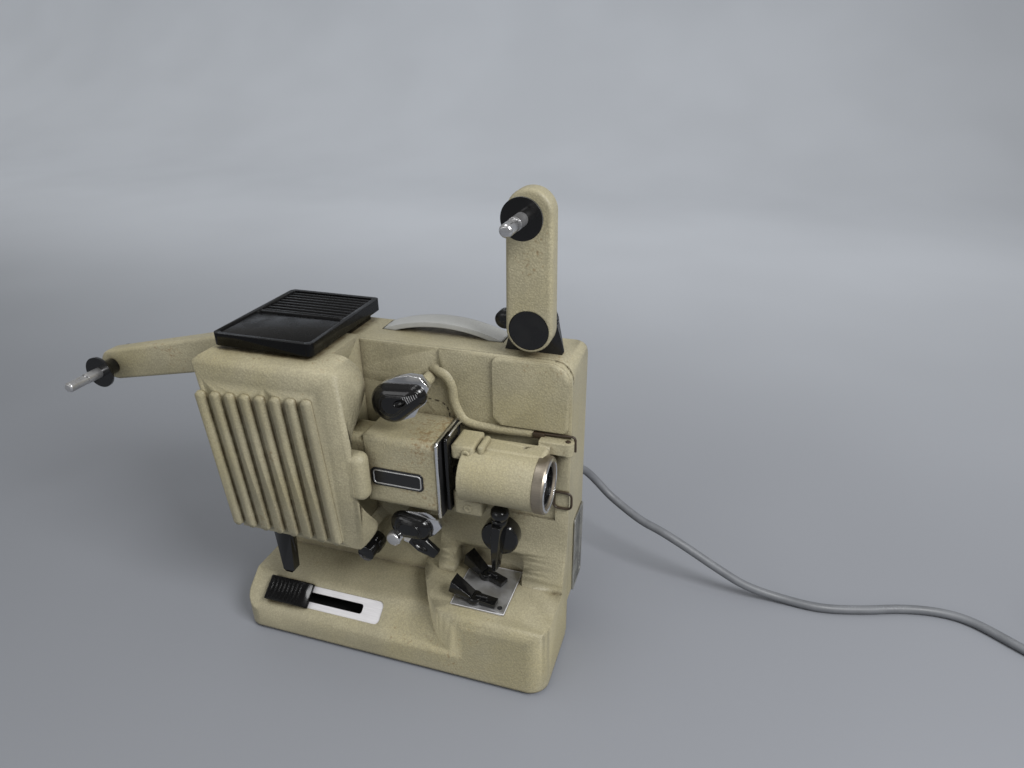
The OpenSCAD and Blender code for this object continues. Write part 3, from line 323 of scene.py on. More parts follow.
def plain_finish(name, base, roughness, rounding=0.4, grain=900.0, depth=0.15, share=0.82,
                 dust=0.3):
    """One cloudy colour with a fine grain and some dust: rubber, enamel, plastic or print."""
    f = Finish(name, rounding)
    cloud = f.noise(f.where, 60.0, 4.0)
    color = f.mix(f.ramp(cloud, 0.3, 0.7), tone(base, share), base)
    dusty = tuple(min(1.0, c * 1.25 + 0.05) for c in base[:3]) + (1,)
    f.put("Base Color", f.mix(f.group(DUST, Amount=dust)["Mask"], color, dusty))
    f.put("Roughness", f.ramp(cloud, 0.25, 0.75, roughness * 0.85, min(1.0, roughness * 1.15)))
    f.bump(f.noise(f.where, grain, 3.0), depth, 0.0002)
    return f.material


def glass_finish(name, base):
    f = Finish(name, Transmission_Weight=1.0, IOR=1.5)
    haze = f.noise(f.where, 140.0, 3.0)
    f.put("Base Color", f.mix(f.ramp(haze, 0.4, 0.8), base, tone(base, 0.93)))
    f.put("Roughness", f.ramp(haze, 0.4, 0.8, 0.0, 0.03))
    return f.material


MATERIAL = {
    "paint": paint_finish("beige_wrinkle_paint", 2.2, dirt_and_shade=1.0, reach=0.009),
    "paint_cover": paint_finish("beige_cover_paint", 1.3, dirt_and_shade=1.0, reach=0.012),
    "paint_fine": paint_finish("beige_paint_small_parts", 1.0),
    "paint_stained": paint_finish("beige_paint_stained", 2.4, stain=0.36, dirt_and_shade=1.0, reach=0.009,
                                  rusty=True),
    "black_gloss": black_finish("black_bakelite"),
    "grille_black": black_finish("black_grille_enamel", rounding=0.6, base=0.003, roughness=0.2,
                                 dust=0.02, shine=0.14),
    "black_soft": black_finish("black_bakelite_soft", rounding=0.3, roughness=0.1),
    "black_satin": black_finish("black_lacquer", rounding=0.3, base=0.005, roughness=0.26),
    "black_dull": plain_finish("black_flock", (0.007, 0.007, 0.008, 1), 0.75, dust=0.05),
    "chrome": metal_finish("polished_chrome", (0.80, 0.80, 0.81, 1), 0.14, stain=0.2, brushed=0.05),
    "worn_chrome": metal_finish("worn_chrome", (0.60, 0.60, 0.61, 1), 0.26, stain=0.3, haze=0.12),
    "bright_plate": metal_finish("bright_plate", (0.66, 0.65, 0.67, 1), 0.4, brushed=0.05,
                                 haze=0.8),
    "steel": metal_finish("turned_steel", (0.52, 0.51, 0.50, 1), 0.3),
    "aluminium": metal_finish("satin_aluminium", (0.56, 0.56, 0.565, 1), 0.36, stain=0.2, haze=0.1),
    "ring_metal": metal_finish("browned_ring", (0.34, 0.30, 0.245, 1), 0.5, stain=0.35),
    "wire": plain_finish("browned_wire", (0.035, 0.022, 0.012, 1), 0.45),
    "dark_metal": plain_finish("dark_enamel", (0.035, 0.035, 0.036, 1), 0.5),
    "vent_metal": metal_finish("grey_vent_sheet", (0.42, 0.42, 0.40, 1), 0.5),
    "plate_black": black_finish("black_plate_enamel", rounding=0.2, base=0.01, roughness=0.3,
                                dust=0.05),
    "rubber": plain_finish("black_rubber", (0.02, 0.02, 0.021, 1), 0.7),
    "cord_grey": plain_finish("grey_cord_rubber", (0.135, 0.142, 0.155, 1), 0.5, rounding=0.0,
                              grain=1400.0, depth=0.2, share=0.8, dust=0.5),
    "lens_glass": glass_finish("coated_lens_glass", (0.82, 0.84, 0.92, 1)),
    "lamp_glass": glass_finish("lamp_glass", (0.97, 0.97, 0.96, 1)),
    "mirror": metal_finish("mirror_silver", (0.9, 0.9, 0.9, 1), 0.05, stain=0.0, brushed=0.0),
    "switch_plastic": plain_finish("brown_phenolic", (0.12, 0.055, 0.025, 1), 0.45),
    "handle_plastic": plain_finish("pale_grey_plastic", (0.37, 0.375, 0.365, 1), 0.35, rounding=1.2,
                                   grain=1100.0, depth=0.1, share=0.9),
    "print_brown": plain_finish("dark_print", (0.045, 0.036, 0.02, 1), 0.6),
}


# ---------------------------------------------------------------- making shapes

def verts_of(geom):
    return [v for v in geom if isinstance(v, bmesh.types.BMVert)]


def round_edges(bm, size, segments=3):
    """Rounds every edge that turns by more than 30 degrees."""
    bmesh.ops.recalc_face_normals(bm, faces=bm.faces)
    least = math.radians(30)
    edges = [e for e in bm.edges if len(e.link_faces) == 2 and e.calc_face_angle() > least]
    bmesh.ops.bevel(bm, geom=edges, offset=size, offset_type="OFFSET", segments=segments,
                    profile=0.5, affect="EDGES", material=-1, clamp_overlap=True)
    return bm


def sheet(outline, near, far):
    """A plate whose outline is drawn in the front view, reaching from near to far along Y."""
    bm = bmesh.new()
    face = bm.faces.new([bm.verts.new((x, near, z)) for x, z in outline])
    grown = bmesh.ops.extrude_face_region(bm, geom=[face])["geom"]
    bmesh.ops.translate(bm, vec=(0, far - near, 0), verts=verts_of(grown))
    bmesh.ops.recalc_face_normals(bm, faces=bm.faces)
    return bm


def block(low, high, rounding, segments=3):
    bm = bmesh.new()
    bmesh.ops.create_cube(bm, size=1)
    low, high = Vector(low), Vector(high)
    bmesh.ops.scale(bm, vec=high - low, verts=bm.verts)
    bmesh.ops.translate(bm, vec=(low + high) / 2, verts=bm.verts)
    return round_edges(bm, rounding, segments)


def sharp_block(low, high):
    """A block with its edges only just broken."""
    return block(low, high, 0.01, 1)


def turned(profile, place, direction, steps=48):
    """A turned part: (radius, distance) along a direction from a place."""
    bm = bmesh.new()
    line = [bm.verts.new((r, 0, t)) for r, t in profile]
    edges = [bm.edges.new(pair) for pair in zip(line, line[1:])]
    bmesh.ops.spin(bm, geom=line + edges, cent=(0, 0, 0), axis=(0, 0, 1), angle=2 * math.pi,
                   steps=steps, use_merge=True)
    bmesh.ops.remove_doubles(bm, verts=bm.verts, dist=1e-4)
    bmesh.ops.recalc_face_normals(bm, faces=bm.faces)
    turn = Vector(direction).to_track_quat("Z", "Y").to_matrix().to_4x4()
    bmesh.ops.transform(bm, matrix=Matrix.Translation(place) @ turn, verts=bm.verts)
    return bm


def around(discs, steps=64):
    """Outline, in the front view, of a string pulled round discs given as (x, z, radius)."""
    outline = []
    for i in range(steps):
        a = 2 * math.pi * i / steps
        x, z, r = max(discs, key=lambda d: d[0] * math.cos(a) + d[1] * math.sin(a) + d[2])
        outline.append((x + r * math.cos(a), z + r * math.sin(a)))
    return outline


def turn_about(bm, place, axis, degrees):
    turn = Matrix.Rotation(math.radians(degrees), 3, axis)
    bmesh.ops.rotate(bm, cent=place, matrix=turn, verts=bm.verts)
    return bm


def joined(shapes):
    """One shape that holds several, each still closed in itself."""
    whole = bmesh.new()
    for shape in shapes:
        mesh = bpy.data.meshes.new("part")
        shape.to_mesh(mesh)
        shape.free()
        whole.from_mesh(mesh)
        bpy.data.meshes.remove(mesh)
    return whole


def carve(bm, cutter):
    """The first shape with the second one cut out of it."""
    pair = []
    for shape in (bm, cutter):
        mesh = bpy.data.meshes.new("blank")
        shape.to_mesh(mesh)
        shape.free()
        pair.append(add_object("blank", mesh))
    cut = pair[0].modifiers.new("cut", "BOOLEAN")
    cut.operation = "DIFFERENCE"
    cut.solver = "EXACT"
    cut.object = pair[1]
    result = bmesh.new()
    result.from_object(pair[0], bpy.context.evaluated_depsgraph_get())
    for blank in pair:
        mesh = blank.data
        bpy.data.objects.remove(blank)
        bpy.data.meshes.remove(mesh)
    return result


def catmull(points, steps):
    """A smooth line through the points, with a number of steps between each two of them."""
    points = [Vector(p) for p in points]
    last = len(points) - 1
    line = []
    for i in range(last):
        a, b, c, d = points[max(i - 1, 0)], points[i], points[i + 1], points[min(i + 2, last)]
        for j in range(steps):
            t = j / steps
            line.append(0.5 * (2 * b + (c - a) * t + (2 * a - 5 * b + 4 * c - d) * t * t
                               + (3 * b - a - 3 * c + d) * t ** 3))
    return line + [points[-1]]


# ---------------------------------------------------------------- making pieces

def place_piece(piece, body, replaces):
    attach(piece, body)
    if replaces:
        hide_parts(*replaces)


def finish_piece(name, bm, body, material, replaces, sharp, level=False):
    """Turns a bmesh, in metres, into a piece; level keeps its flat faces evenly shaded."""
    mesh = bpy.data.meshes.new(name)
    bm.to_mesh(mesh)
    bm.free()
    mesh.materials.clear()
    mesh.materials.append(MATERIAL[material])
    mesh.shade_smooth()
    mesh.set_sharp_from_angle(angle=math.radians(sharp))
    piece = add_object(name, mesh)
    if level:
        flat = piece.modifiers.new("flat_faces", "WEIGHTED_NORMAL")
        flat.mode = "FACE_AREA"
        flat.weight = 50
        flat.keep_sharp = True
    place_piece(piece, body, replaces)


def add_piece(name, bm, body, material, replaces=(), sharp=32):
    """Turns a bmesh, in millimetres, into a piece that rides on a body."""
    bmesh.ops.scale(bm, vec=(METRES, METRES, METRES), verts=bm.verts)
    finish_piece(name, bm, body, material, replaces, sharp)


def tube(name, lines, radius, material, fullness):
    """Round wires along lines of points; a fourth number thins or widens the wire there."""
    curve = bpy.data.curves.new(name, "CURVE")
    curve.dimensions = "3D"
    for line in lines:
        spline = curve.splines.new("POLY")
        spline.points.add(len(line) - 1)
        for point, p in zip(spline.points, line):
            point.co = (p[0] * METRES, p[1] * METRES, p[2] * METRES, 1)
            point.radius = p[3] if len(p) > 3 else 1.0
        spline.use_smooth = True
    curve.bevel_depth = radius * METRES
    curve.bevel_resolution = fullness
    curve.use_fill_caps = True
    curve.materials.append(MATERIAL[material])
    return add_object(name, curve)


def wires(name, lines, radius, body, material, replaces=(), fullness=3):
    place_piece(tube(name, lines, radius, material, fullness), body, replaces)


def merged(node, material, cutter=None, level=True):
    """A welded, smoothly shaded copy of a node's mesh, less a cutter, which stands for the node."""
    bm = bmesh.new()
    bm.from_mesh(frame["nodes"][node].data)
    bmesh.ops.remove_doubles(bm, verts=bm.verts, dist=WELD_REACH)
    if cutter:
        bmesh.ops.scale(cutter, vec=(METRES, METRES, METRES), verts=cutter.verts)
        bm = carve(bm, cutter)
    finish_piece("look." + node, bm, BODY_OF[node], material, [node], 32, level)


def coat(node, material):
    """Puts a finish on a node whose own shape stays."""
    for slot in frame["nodes"][node].material_slots:
        slot.material = MATERIAL[material]


# ---------------------------------------------------------------- mains cord

CORD_RADIUS = 3.3
CORD_LIES = 3.6                 # height of the cord's middle where it lies on the floor
COVER_BACK = 64                 # the cord shows from here on
ROUTE = [
    (99.5, 46, 95.8), (99.5, 58, 95.8), (99.5, 68, 95.8), (99.5, 76, 95.8), (100.3, 86.2, 94.5),
    (102.7, 95.6, 90.9), (106.5, 103.3, 85.2), (111.4, 108.7, 77.8), (118.6, 111.4, 68.7),
    (131, 110, 57.8), (154.9, 100.7, 48.2), (174, 93, 45.4), (193.6, 89.6, 37.6), (220, 88.5, 23.2),
    (242, 89, 11.8), (267, 91, 4.8), (297.5, 90, CORD_LIES), (327, 96.4, CORD_LIES),
    (358.7, 107, CORD_LIES), (385.3, 111, CORD_LIES), (407.2, 106.4, CORD_LIES),
    (434, 88.4, CORD_LIES), (450, 77.6, CORD_LIES), (467, 69.8, CORD_LIES), (484, 67, CORD_LIES),
    (493, 67, CORD_LIES), (500, 67, CORD_LIES)]
COIL_X, COIL_Y, COIL_RADIUS = 500, 112, 45
COIL_PITCH = 7.2                # from one winding, or layer, to the next
COIL_IN, COIL_CLIMB, COIL_OUT, COIL_EXIT = 900, 120, 790, 110    # degrees of winding
COIL_END = COIL_IN + COIL_CLIMB + COIL_OUT + COIL_EXIT
COIL_STEP = 7.5
TOP_LAYER_OUT, TOP_LAYER_TURN = 4, 180  # the upper layer lies this much further out
EXIT_SWING = 15                 # how far the last stretch swings out
DROP_START, DROP_TURN = 45, 60  # where the last stretch comes down to the floor
LEAD_TO_PLUG = 7


def clamped(value):
    return max(min(value, 1), 0)


def coil_at(turn):
    """A point of the coil by its winding angle: a layer in, a climb, a layer out, the way off."""
    out = turn - COIL_IN - COIL_CLIMB
    leaving = out - COIL_OUT
    wound = max(min(out, COIL_OUT), 0) - min(turn, COIL_IN + COIL_CLIMB)
    radius = COIL_RADIUS + COIL_PITCH * wound / 360
    radius += TOP_LAYER_OUT * clamped(out / TOP_LAYER_TURN)
    radius += EXIT_SWING * (max(leaving, 0) / COIL_EXIT) ** 2
    layers_up = clamped((turn - COIL_IN) / COIL_CLIMB)
    layers_up -= clamped((leaving - DROP_START) / DROP_TURN)
    angle = math.radians(turn - 90)
    return Vector((COIL_X + radius * math.cos(angle), COIL_Y + radius * math.sin(angle),
                   CORD_LIES + COIL_PITCH * layers_up))


def cord_line():
    line = catmull(ROUTE, 5)
    start = next(i for i, p in enumerate(line) if p.y >= COVER_BACK)
    coil = [coil_at(i * COIL_STEP) for i in range(1, round(COIL_END / COIL_STEP) + 1)]
    end = (coil_at(COIL_END) - coil_at(COIL_END - 2 * COIL_STEP)).normalized()
    end.z = 0
    return line[start:] + coil + [coil[-1] + end * LEAD_TO_PLUG]


def make_cord():
    line = cord_line()
    cord = tube("mains_cord", [line], CORD_RADIUS, "cord_grey", 4)
    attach(cord, "chassis")
    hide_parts("cord_run", "cord_coil")


make_cord()


# ---------------------------------------------------------------- nodes that keep their own shape

WELDED = [
    ("rear_cover", "paint", "paint"), ("condenser_housing", "paint_stained", "paint"),
    ("lens_carrier", "paint_fine", "paint"), ("top_grille", "grille_black", "black_gloss"),
    ("arm_brackets", "black_satin", "black_gloss"), ("feed_hub", "black_soft", "black_gloss"),
    ("takeup_hub", "black_soft", "black_gloss"), ("inching_knob", "black_gloss", "black_gloss"),
    ("cover_latch", "black_gloss", "black_gloss"), ("switch_plate", "aluminium", "aluminium"),
    ("speed_plate", "bright_plate", "chrome"), ("handle", "handle_plastic", "handle_plastic"),
    ("name_plate", "plate_black", "plate_black"), ("film_gate", "black_dull", "chrome"),
    ("pressure_plate", "black_satin", "chrome"), ("lens_barrel", "black_satin", "black_gloss"),
    ("feed_spindle", "worn_chrome", "chrome"), ("feed_tip", "worn_chrome", "chrome"),
    ("takeup_spindle", "worn_chrome", "chrome"), ("takeup_tip", "worn_chrome", "chrome"),
    ("upper_guide_shoe", "chrome", "chrome"), ("lower_guide_shoe", "chrome", "chrome"),
    ("carrier_spring", "wire", "steel"), ("vent_grille", "vent_metal", "vent_metal"),
    ("front_casting", "paint", "paint")]
COATED = {
    "dark_metal": ["base_plate", "lamp_socket", "motor", "transformer", "shutter_disc"],
    "rubber": ["feet", "drive_belt", "cord_gland"],
    "lens_glass": ["condenser_lenses", "lens_glass"],
    "lamp_glass": ["lamp"],
    "mirror": ["reflector"],
    "aluminium": ["bearing_blocks", "upper_sprocket", "lower_sprocket"],
    "switch_plastic": ["rotary_switch"],
    "steel": ["cover_screws", "claw", "motor_rotor", "main_shaft", "shutter_shaft"],
    "cord_grey": ["plug"]}
TAB_ROOM = ((-12.5, -46.8, 128.5), (-3, -32, 165.5))    # cut out for the rounded tab

for node, material, slot in WELDED:
    merged(node, material)
merged("lamp_cover", "paint_cover", sharp_block(*TAB_ROOM), level=False)
for material, nodes in COATED.items():
    for node in nodes:
        coat(node, material)


# ---------------------------------------------------------------- front wall and lamp house cover

RIDGE_RADIUS = 4.4
RIDGE = [(23.5, 12, 206.5), (29, 8.6, 206), (34, 7.2, 202.8), (37.2, 7, 196), (38.2, 7, 186),
         (43.4, 7, 174.6), (51, 7, 170.8), (62, 7, 169.9), (89, 7, 170.8), (91.5, 7.6, 170.9)]
FILM_LOOPS = ([(19.4, 184.7), (29.3, 182.9), (33.8, 175.9), (32.1, 166.4)],
              [(30.7, 114.6), (29.4, 89), (23.8, 85.5)])
MARKS_Y = 6.95
BORDER_LEFT, BORDER_RIGHT, BORDER_LOW, BORDER_HIGH, BORDER_Y = -5.4, 28, 138.2, 148, -31.75
BORDER_CORNER = 2
GATE_X, GATE_TOP, GATE_CORNER = 39.9, 173.4, 2.2
GATE_BOW = [(44.6, -25, 168), (44.8, -24, 173), (45.4, -19, 176.4), (46.4, -10, 178),
            (47, -4, 177.6)]
STRAP = [(97, 3.9, 172.3), (118.6, 3.9, 173), (119.8, 3.9, 172.4), (120.4, 3.9, 171),
         (120.6, 3.9, 162.6)]
FIELD = ((-100.5, -37.5, 233.2), (-36.5, 1.5, 235.4))
SLAT_COUNT, SLAT_FIRST, SLAT_PITCH, SLAT_WIDTH = 8, 6.4, 4.9, 3.2
SLAT_LEFT, SLAT_RIGHT, SLAT_LOW, SLAT_TOP = -100.3, -36.7, 233, 235.5
RIB_COUNT, RIB_FIRST, RIB_SPREAD = 8, -105.8, 77.8
RIB_HALF, RIB_FOOT, RIB_TOP, RIB_GROWS = 3.35, 8.9, 115.3, 0.7
RIB_SUNK, RIB_PROUD, RIB_ROUND = -1.6, 3.15, 2.7
RIB_Y, RIB_Z = -47, 86
RIB_LEAN_SIDE, RIB_LEAN_BACK = math.atan(4 / 103), math.atan(7 / 139)
TAB = ((-22, -45.8, 129.6), (-4.8, -33, 164.4))


def make_wall_ridge():
    """The soft raised bead that borders the film channel: thick at its start, thin at its end."""
    line = catmull(RIDGE, 6)
    last = len(line) - 1
    line = [(*p, 1.35 - 0.4 * min(1, i / 14) - (0.35 if i == last else 0))
            for i, p in enumerate(line)]
    wires("wall_ridge", [line], RIDGE_RADIUS, "chassis", "paint", fullness=7)


def make_threading_marks():
    """Printed dashes on the wall that show the film's loops."""
    dashes = []
    for loop in FILM_LOOPS:
        line = catmull([(x, MARKS_Y, z) for x, z in loop], 12)
        dashes += [line[i:i + 4] for i in range(0, len(line) - 3, 6)]
    wires("threading_marks", dashes, 0.42, "chassis", "print_brown", fullness=1)


def make_plate_border():
    """The bright raised border of the bare plate on the condenser housing."""
    left, right = BORDER_LEFT + BORDER_CORNER, BORDER_RIGHT - BORDER_CORNER
    low, high = BORDER_LOW + BORDER_CORNER, BORDER_HIGH - BORDER_CORNER
    line = []
    for x, z, start in ((left, low, 180), (right, low, 270), (right, high, 0), (left, high, 90)):
        for k in range(5):
            a = math.radians(start + k * 22.5)
            line.append((x + BORDER_CORNER * math.cos(a), BORDER_Y,
                         z + BORDER_CORNER * math.sin(a)))
    line.append(line[0])
    wires("plate_border", [line], 0.5, "chassis", "aluminium", fullness=2)


def make_gate_rim():
    """The rounded bright edge of the gate plate, and the bent spring at its top."""
    line = [(GATE_X, 6, GATE_TOP), (GATE_X, -28.6, GATE_TOP)]
    for k in range(1, 5):
        a = k * math.pi / 8
        line.append((GATE_X, -28.6 - GATE_CORNER * math.sin(a),
                     GATE_TOP - GATE_CORNER * (1 - math.cos(a))))
    line += [(GATE_X, -30.8, 119.5), (GATE_X, -29.6, 118.2), (GATE_X, -18, 118)]
    wires("gate_rim", [line], 1.3, "chassis", "chrome")
    wires("gate_spring", [catmull(GATE_BOW, 5)], 0.8, "lens_carrier", "chrome")


def make_hinge():
    """The dark strap, clip and pin that hold the carrier's hinge tongue."""
    wires("hinge_strap", [STRAP], 0.85, "chassis", "wire", ["carrier_hinge"])
    clip = block((93, 2, 169.4), (100.6, 5.2, 173.2), 0.3, 2)
    add_piece("hinge_clip", clip, "chassis", "wire", ["carrier_hinge"])
    pin = turned([(0, 0), (1.5, 0), (1.5, 10.5), (0, 10.6)], (116.5, 0.5, 161), (0, 0, 1), 24)
    add_piece("hinge_pin", pin, "chassis", "wire", ["carrier_hinge"])


def make_grille_top():
    """The flat front field of the top grille, and the rounded tops of its slats."""
    add_piece("grille_field", block(*FIELD, 0.5), "chassis", "grille_black")
    for i in range(SLAT_COUNT):
        y = SLAT_FIRST + i * SLAT_PITCH
        slat = block((SLAT_LEFT, y, SLAT_LOW), (SLAT_RIGHT, y + SLAT_WIDTH, SLAT_TOP), 0.8)
        add_piece("grille_slat_" + str(i + 1), slat, "chassis", "grille_black")


def make_cover_ribs():
    """The rounded cooling ribs of the lamp house cover, each a little longer than the last."""
    lean = Matrix.Rotation(-RIB_LEAN_SIDE, 4, "Y")
    lean = lean @ Matrix.Rotation(math.pi / 2 + RIB_LEAN_BACK, 4, "X")
    ribs = []
    for i in range(RIB_COUNT):
        rib = block((-RIB_HALF, RIB_FOOT, RIB_SUNK),
                    (RIB_HALF, RIB_TOP + RIB_GROWS * i, RIB_PROUD), RIB_ROUND, 6)
        x = RIB_FIRST + i * RIB_SPREAD / (RIB_COUNT - 1)
        place = Matrix.Translation((x, RIB_Y, RIB_Z))
        bmesh.ops.transform(rib, matrix=place @ lean, verts=rib.verts)
        ribs.append(rib)
    add_piece("cover_ribs", joined(ribs), "lamp_cover", "paint_cover")


def make_cover_tab():
    """The rounded tab at the side of the lamp house cover."""
    add_piece("cover_tab", block(*TAB, 5.8, 8), "lamp_cover", "paint_cover")


make_wall_ridge()
make_threading_marks()
make_plate_border()
make_gate_rim()
make_hinge()
make_grille_top()
make_cover_ribs()
make_cover_tab()


# ---------------------------------------------------------------- film guides

GUIDE_FACE = -24.4              # Y where the black domes begin
DOME_STEPS, DOME_FLAT, DOME_POWER = 12, 0.1, 0.62
GUIDE_SKIRT = (-24.3, -19.6)    # near and far side of the bent rims
GUIDE_PLATE = (-24.8, -23.7)


def domed(outline, height, centre):
    """A plate whose front swells out and draws in towards a centre."""
    bm = bmesh.new()
    face = bm.faces.new([bm.verts.new((x, GUIDE_FACE, z)) for x, z in outline])
    last = 1.0
    for k in range(1, DOME_STEPS + 1):
        angle = math.pi / 2 * k / DOME_STEPS
        drawn = math.cos(angle) ** DOME_POWER if k < DOME_STEPS else 0
        width = DOME_FLAT + (1 - DOME_FLAT) * drawn
        face = next(g for g in bmesh.ops.extrude_face_region(bm, geom=[face])["geom"]
                    if isinstance(g, bmesh.types.BMFace))
        for v in face.verts:
            v.co.x = centre[0] + (v.co.x - centre[0]) * width / last
            v.co.z = centre[1] + (v.co.z - centre[1]) * width / last
            v.co.y = GUIDE_FACE - height * math.sin(angle)
        last = width
    bmesh.ops.recalc_face_normals(bm, faces=bm.faces)
    return bm


def scoop(size, place, degrees):
    """An egg shape that carves a hollow for a finger."""
    bm = bmesh.new()
    bmesh.ops.create_uvsphere(bm, u_segments=32, v_segments=16, radius=1)
    bmesh.ops.scale(bm, vec=size, verts=bm.verts)
    turn_about(bm, (0, 0, 0), "Y", degrees)
    bmesh.ops.translate(bm, vec=place, verts=bm.verts)
    return bm


def laid_on(bm, line, lift):
    """A line of the front view laid on a shape's front surface, and lifted off it."""
    surface = BVHTree.FromBMesh(bm)
    laid = []
    for x, z in line:
        hit = surface.ray_cast(Vector((x, -80, z)), Vector((0, 1, 0)))[0]
        laid.append((x, (hit.y if hit else GUIDE_FACE - 0.1) + lift, z))
    return laid


def add_dome(guide, dome):
    add_piece(guide + "_dome", dome, guide, "black_gloss", [guide], 50)


def add_skirt(guide, outline):
    skirt = round_edges(sheet(outline, *GUIDE_SKIRT), 0.35, 2)
    add_piece(guide + "_skirt", skirt, guide, "chrome")


def add_plate(guide, outline):
    plate = round_edges(sheet(outline, *GUIDE_PLATE), 0.3, 2)
    add_piece(guide + "_plate", plate, guide, "chrome")


def make_upper_guide():
    """A dome with a finger hollow and a knurl of fine lines, on its bright plate."""
    dome = domed(around([(8.8, 196, 13.4), (26, 203.4, 7.4)]), 7.8, (13, 198))
    dome = carve(dome, scoop((4.6, 2.2, 2.6), (17.6, -31.4, 199.6), -24))
    knurl = []
    for i in range(7):
        x, z, span = 21.4 + 1.25 * i, 201.4 + 0.58 * i, 3.3 - 0.25 * i
        steps = (-span + 1.2, -span / 3 + 0.8, span / 3 + 0.4, span)
        knurl.append(laid_on(dome, [(x - 0.42 * t, z + 0.91 * t) for t in steps], 0.05))
    add_dome("upper_guide", dome)
    wires("upper_guide_knurl", knurl, 0.2, "upper_guide", "aluminium", fullness=1)
    outer = [(-3.6, 199), (-1, 205), (5, 210), (14, 214), (22, 215.9), (29.2, 215.4), (35, 208.8),
             (28.4, 196)]
    inner = [(27, 196.4), (33.4, 208.6), (28.4, 214.2), (22, 214.7), (14.4, 212.8), (5.6, 208.9),
             (0, 204.4), (-2.4, 198.8)]
    add_skirt("upper_guide", outer + inner)
    add_plate("upper_guide", outer + [(24, 187.6), (14, 183.4), (4, 184.6), (-2.4, 190.4)])


def make_lower_guide():
    """A dome with a curved ridge, a hollowed lever and a bright button, on its bright plate."""
    dome = domed(around([(10.4, 103.4, 10), (22.6, 102.8, 8.8)]), 7.2, (16, 103))
    bend = [math.radians(a) for a in range(-20, 96, 8)]
    ridge = laid_on(dome, [(16 + 8.5 * math.cos(a), 100.5 + 7.5 * math.sin(a)) for a in bend], 0.1)
    add_dome("lower_guide", dome)
    wires("lower_guide_ridge", [ridge], 0.7, "lower_guide", "black_gloss")
    lever = sheet([(17.5, 97), (27, 95.4), (36.2, 87.2), (32.2, 81), (20.5, 84.6), (13.6, 90.6)],
                  -29.4, -24.9)
    lever = carve(round_edges(lever, 1.1), scoop((6.2, 2.8, 3), (22.6, -29.8, 90.4), 34))
    add_piece("lower_guide_lever", lever, "lower_guide", "black_gloss",
              ["lower_guide"], 40)
    add_plate("lower_guide", [
        (28, 110.6), (34.6, 110.6), (37.2, 104.6), (32, 98), (24, 92), (14, 87), (4, 91), (0, 100),
        (3, 109), (12, 113.4), (21, 113)])
    add_skirt("lower_guide", [
        (12, 113.4), (21, 113.4), (28, 111), (34.8, 110.8), (37.4, 104.6), (32, 98), (31, 99),
        (36, 104.8), (34, 109.6), (27.8, 109.8), (20.6, 112.2), (12, 112.2)])
    button = turned([(0, 0), (4.8, 0), (4.8, 5), (4.2, 5.9), (3.2, 6.2), (0, 6.3)],
                    (2.8, -25, 91.8), (0, -1, 0), 40)
    add_piece("lower_guide_button", button, "lower_guide", "aluminium")


make_upper_guide()
make_lower_guide()


# ---------------------------------------------------------------- lens

LENS_Y, LENS_Z = -18, 149       # the optical axis
RING_X, RIM_X = 102.5, 109.9
BOSS_X, BOSS_Y = 56.6, -23.9


def make_focus_ring():
    band = turned([(18.1, 0), (18.5, 0.3), (18.5, 6.2), (17.9, 7.3), (16.4, 7.7), (14.6, 7.2),
                   (14.1, 6.2), (14.1, 2.2), (18.1, 2.2), (18.1, 0)],
                  (RING_X, LENS_Y, LENS_Z), (1, 0, 0), 72)
    add_piece("focus_ring_band", band, "focus_ring", "ring_metal", ["focus_ring"], 28)
    rim = turned([(15.2, 0), (17.7, -0.5), (17.2, 0.45), (15.8, 0.5), (15.2, 0)],
                 (RIM_X, LENS_Y, LENS_Z), (1, 0, 0), 72)
    add_piece("focus_ring_rim", rim, "focus_ring", "chrome")


def make_carrier_details():
    """Rib, lower lug and screw bosses on the lens carrier."""
    rib = block((63.6, -22.4, 164.6), (67.8, -6, 171.4), 1.6)
    add_piece("carrier_rib", rib, "lens_carrier", "paint_fine")
    lug = block((47, -24.4, 119), (66.4, -8, 131), 2.2)
    add_piece("carrier_lug", lug, "lens_carrier", "paint_fine")
    for name, z in (("upper", 165.6), ("lower", 124.6)):
        boss = turned([(0, 0), (3.1, 0), (3.1, 0.7), (2.5, 1.2), (1.3, 1.25), (0.9, 0.8), (0, 0.7)],
                      (BOSS_X, BOSS_Y, z), (0, -1, 0), 32)
        add_piece("carrier_boss_" + name, boss, "lens_carrier", "paint_fine")


make_focus_ring()
make_carrier_details()


# ---------------------------------------------------------------- controls

KNOB_X, KNOB_Z, KNOB_TURN = 75, 98.5, 5
LEVERS_Z = 54.2                 # top of the switch plate
PLATE_LEFT, PLATE_RIGHT, PLATE_FRONT, PLATE_BACK = 46.7, 84.7, -38.4, 5.2
SLOPE_PLACE, SLOPE_ANGLE = (-54.5, -38.5, 29.0), 37.6    # middle of the sloping front
SLIDER_REST = (-28, 0, 0.3)
SLIDER_RIDGES, SLIDER_RIDGE_FIRST, SLIDER_RIDGE_PITCH, SLIDER_RIDGE_WIDTH = 8, -14.6, 3.3, 1.6
# Heights of a lever grip's corners, by whether they are at the left and whether they are high.
GRIP_SLOPE = {(True, True): 15.2, (False, True): 5.6, (True, False): 6.4, (False, False): 1.4}


def add_knob_part(part, bm):
    """Moves a shape drawn round the origin onto the main knob."""
    place = (KNOB_X, 0, KNOB_Z)
    bmesh.ops.translate(bm, vec=place, verts=bm.verts)
    turn_about(bm, place, "Y", KNOB_TURN)
    add_piece("main_knob_" + part, bm, "main_knob", "black_gloss",
              ["main_knob"], 40)


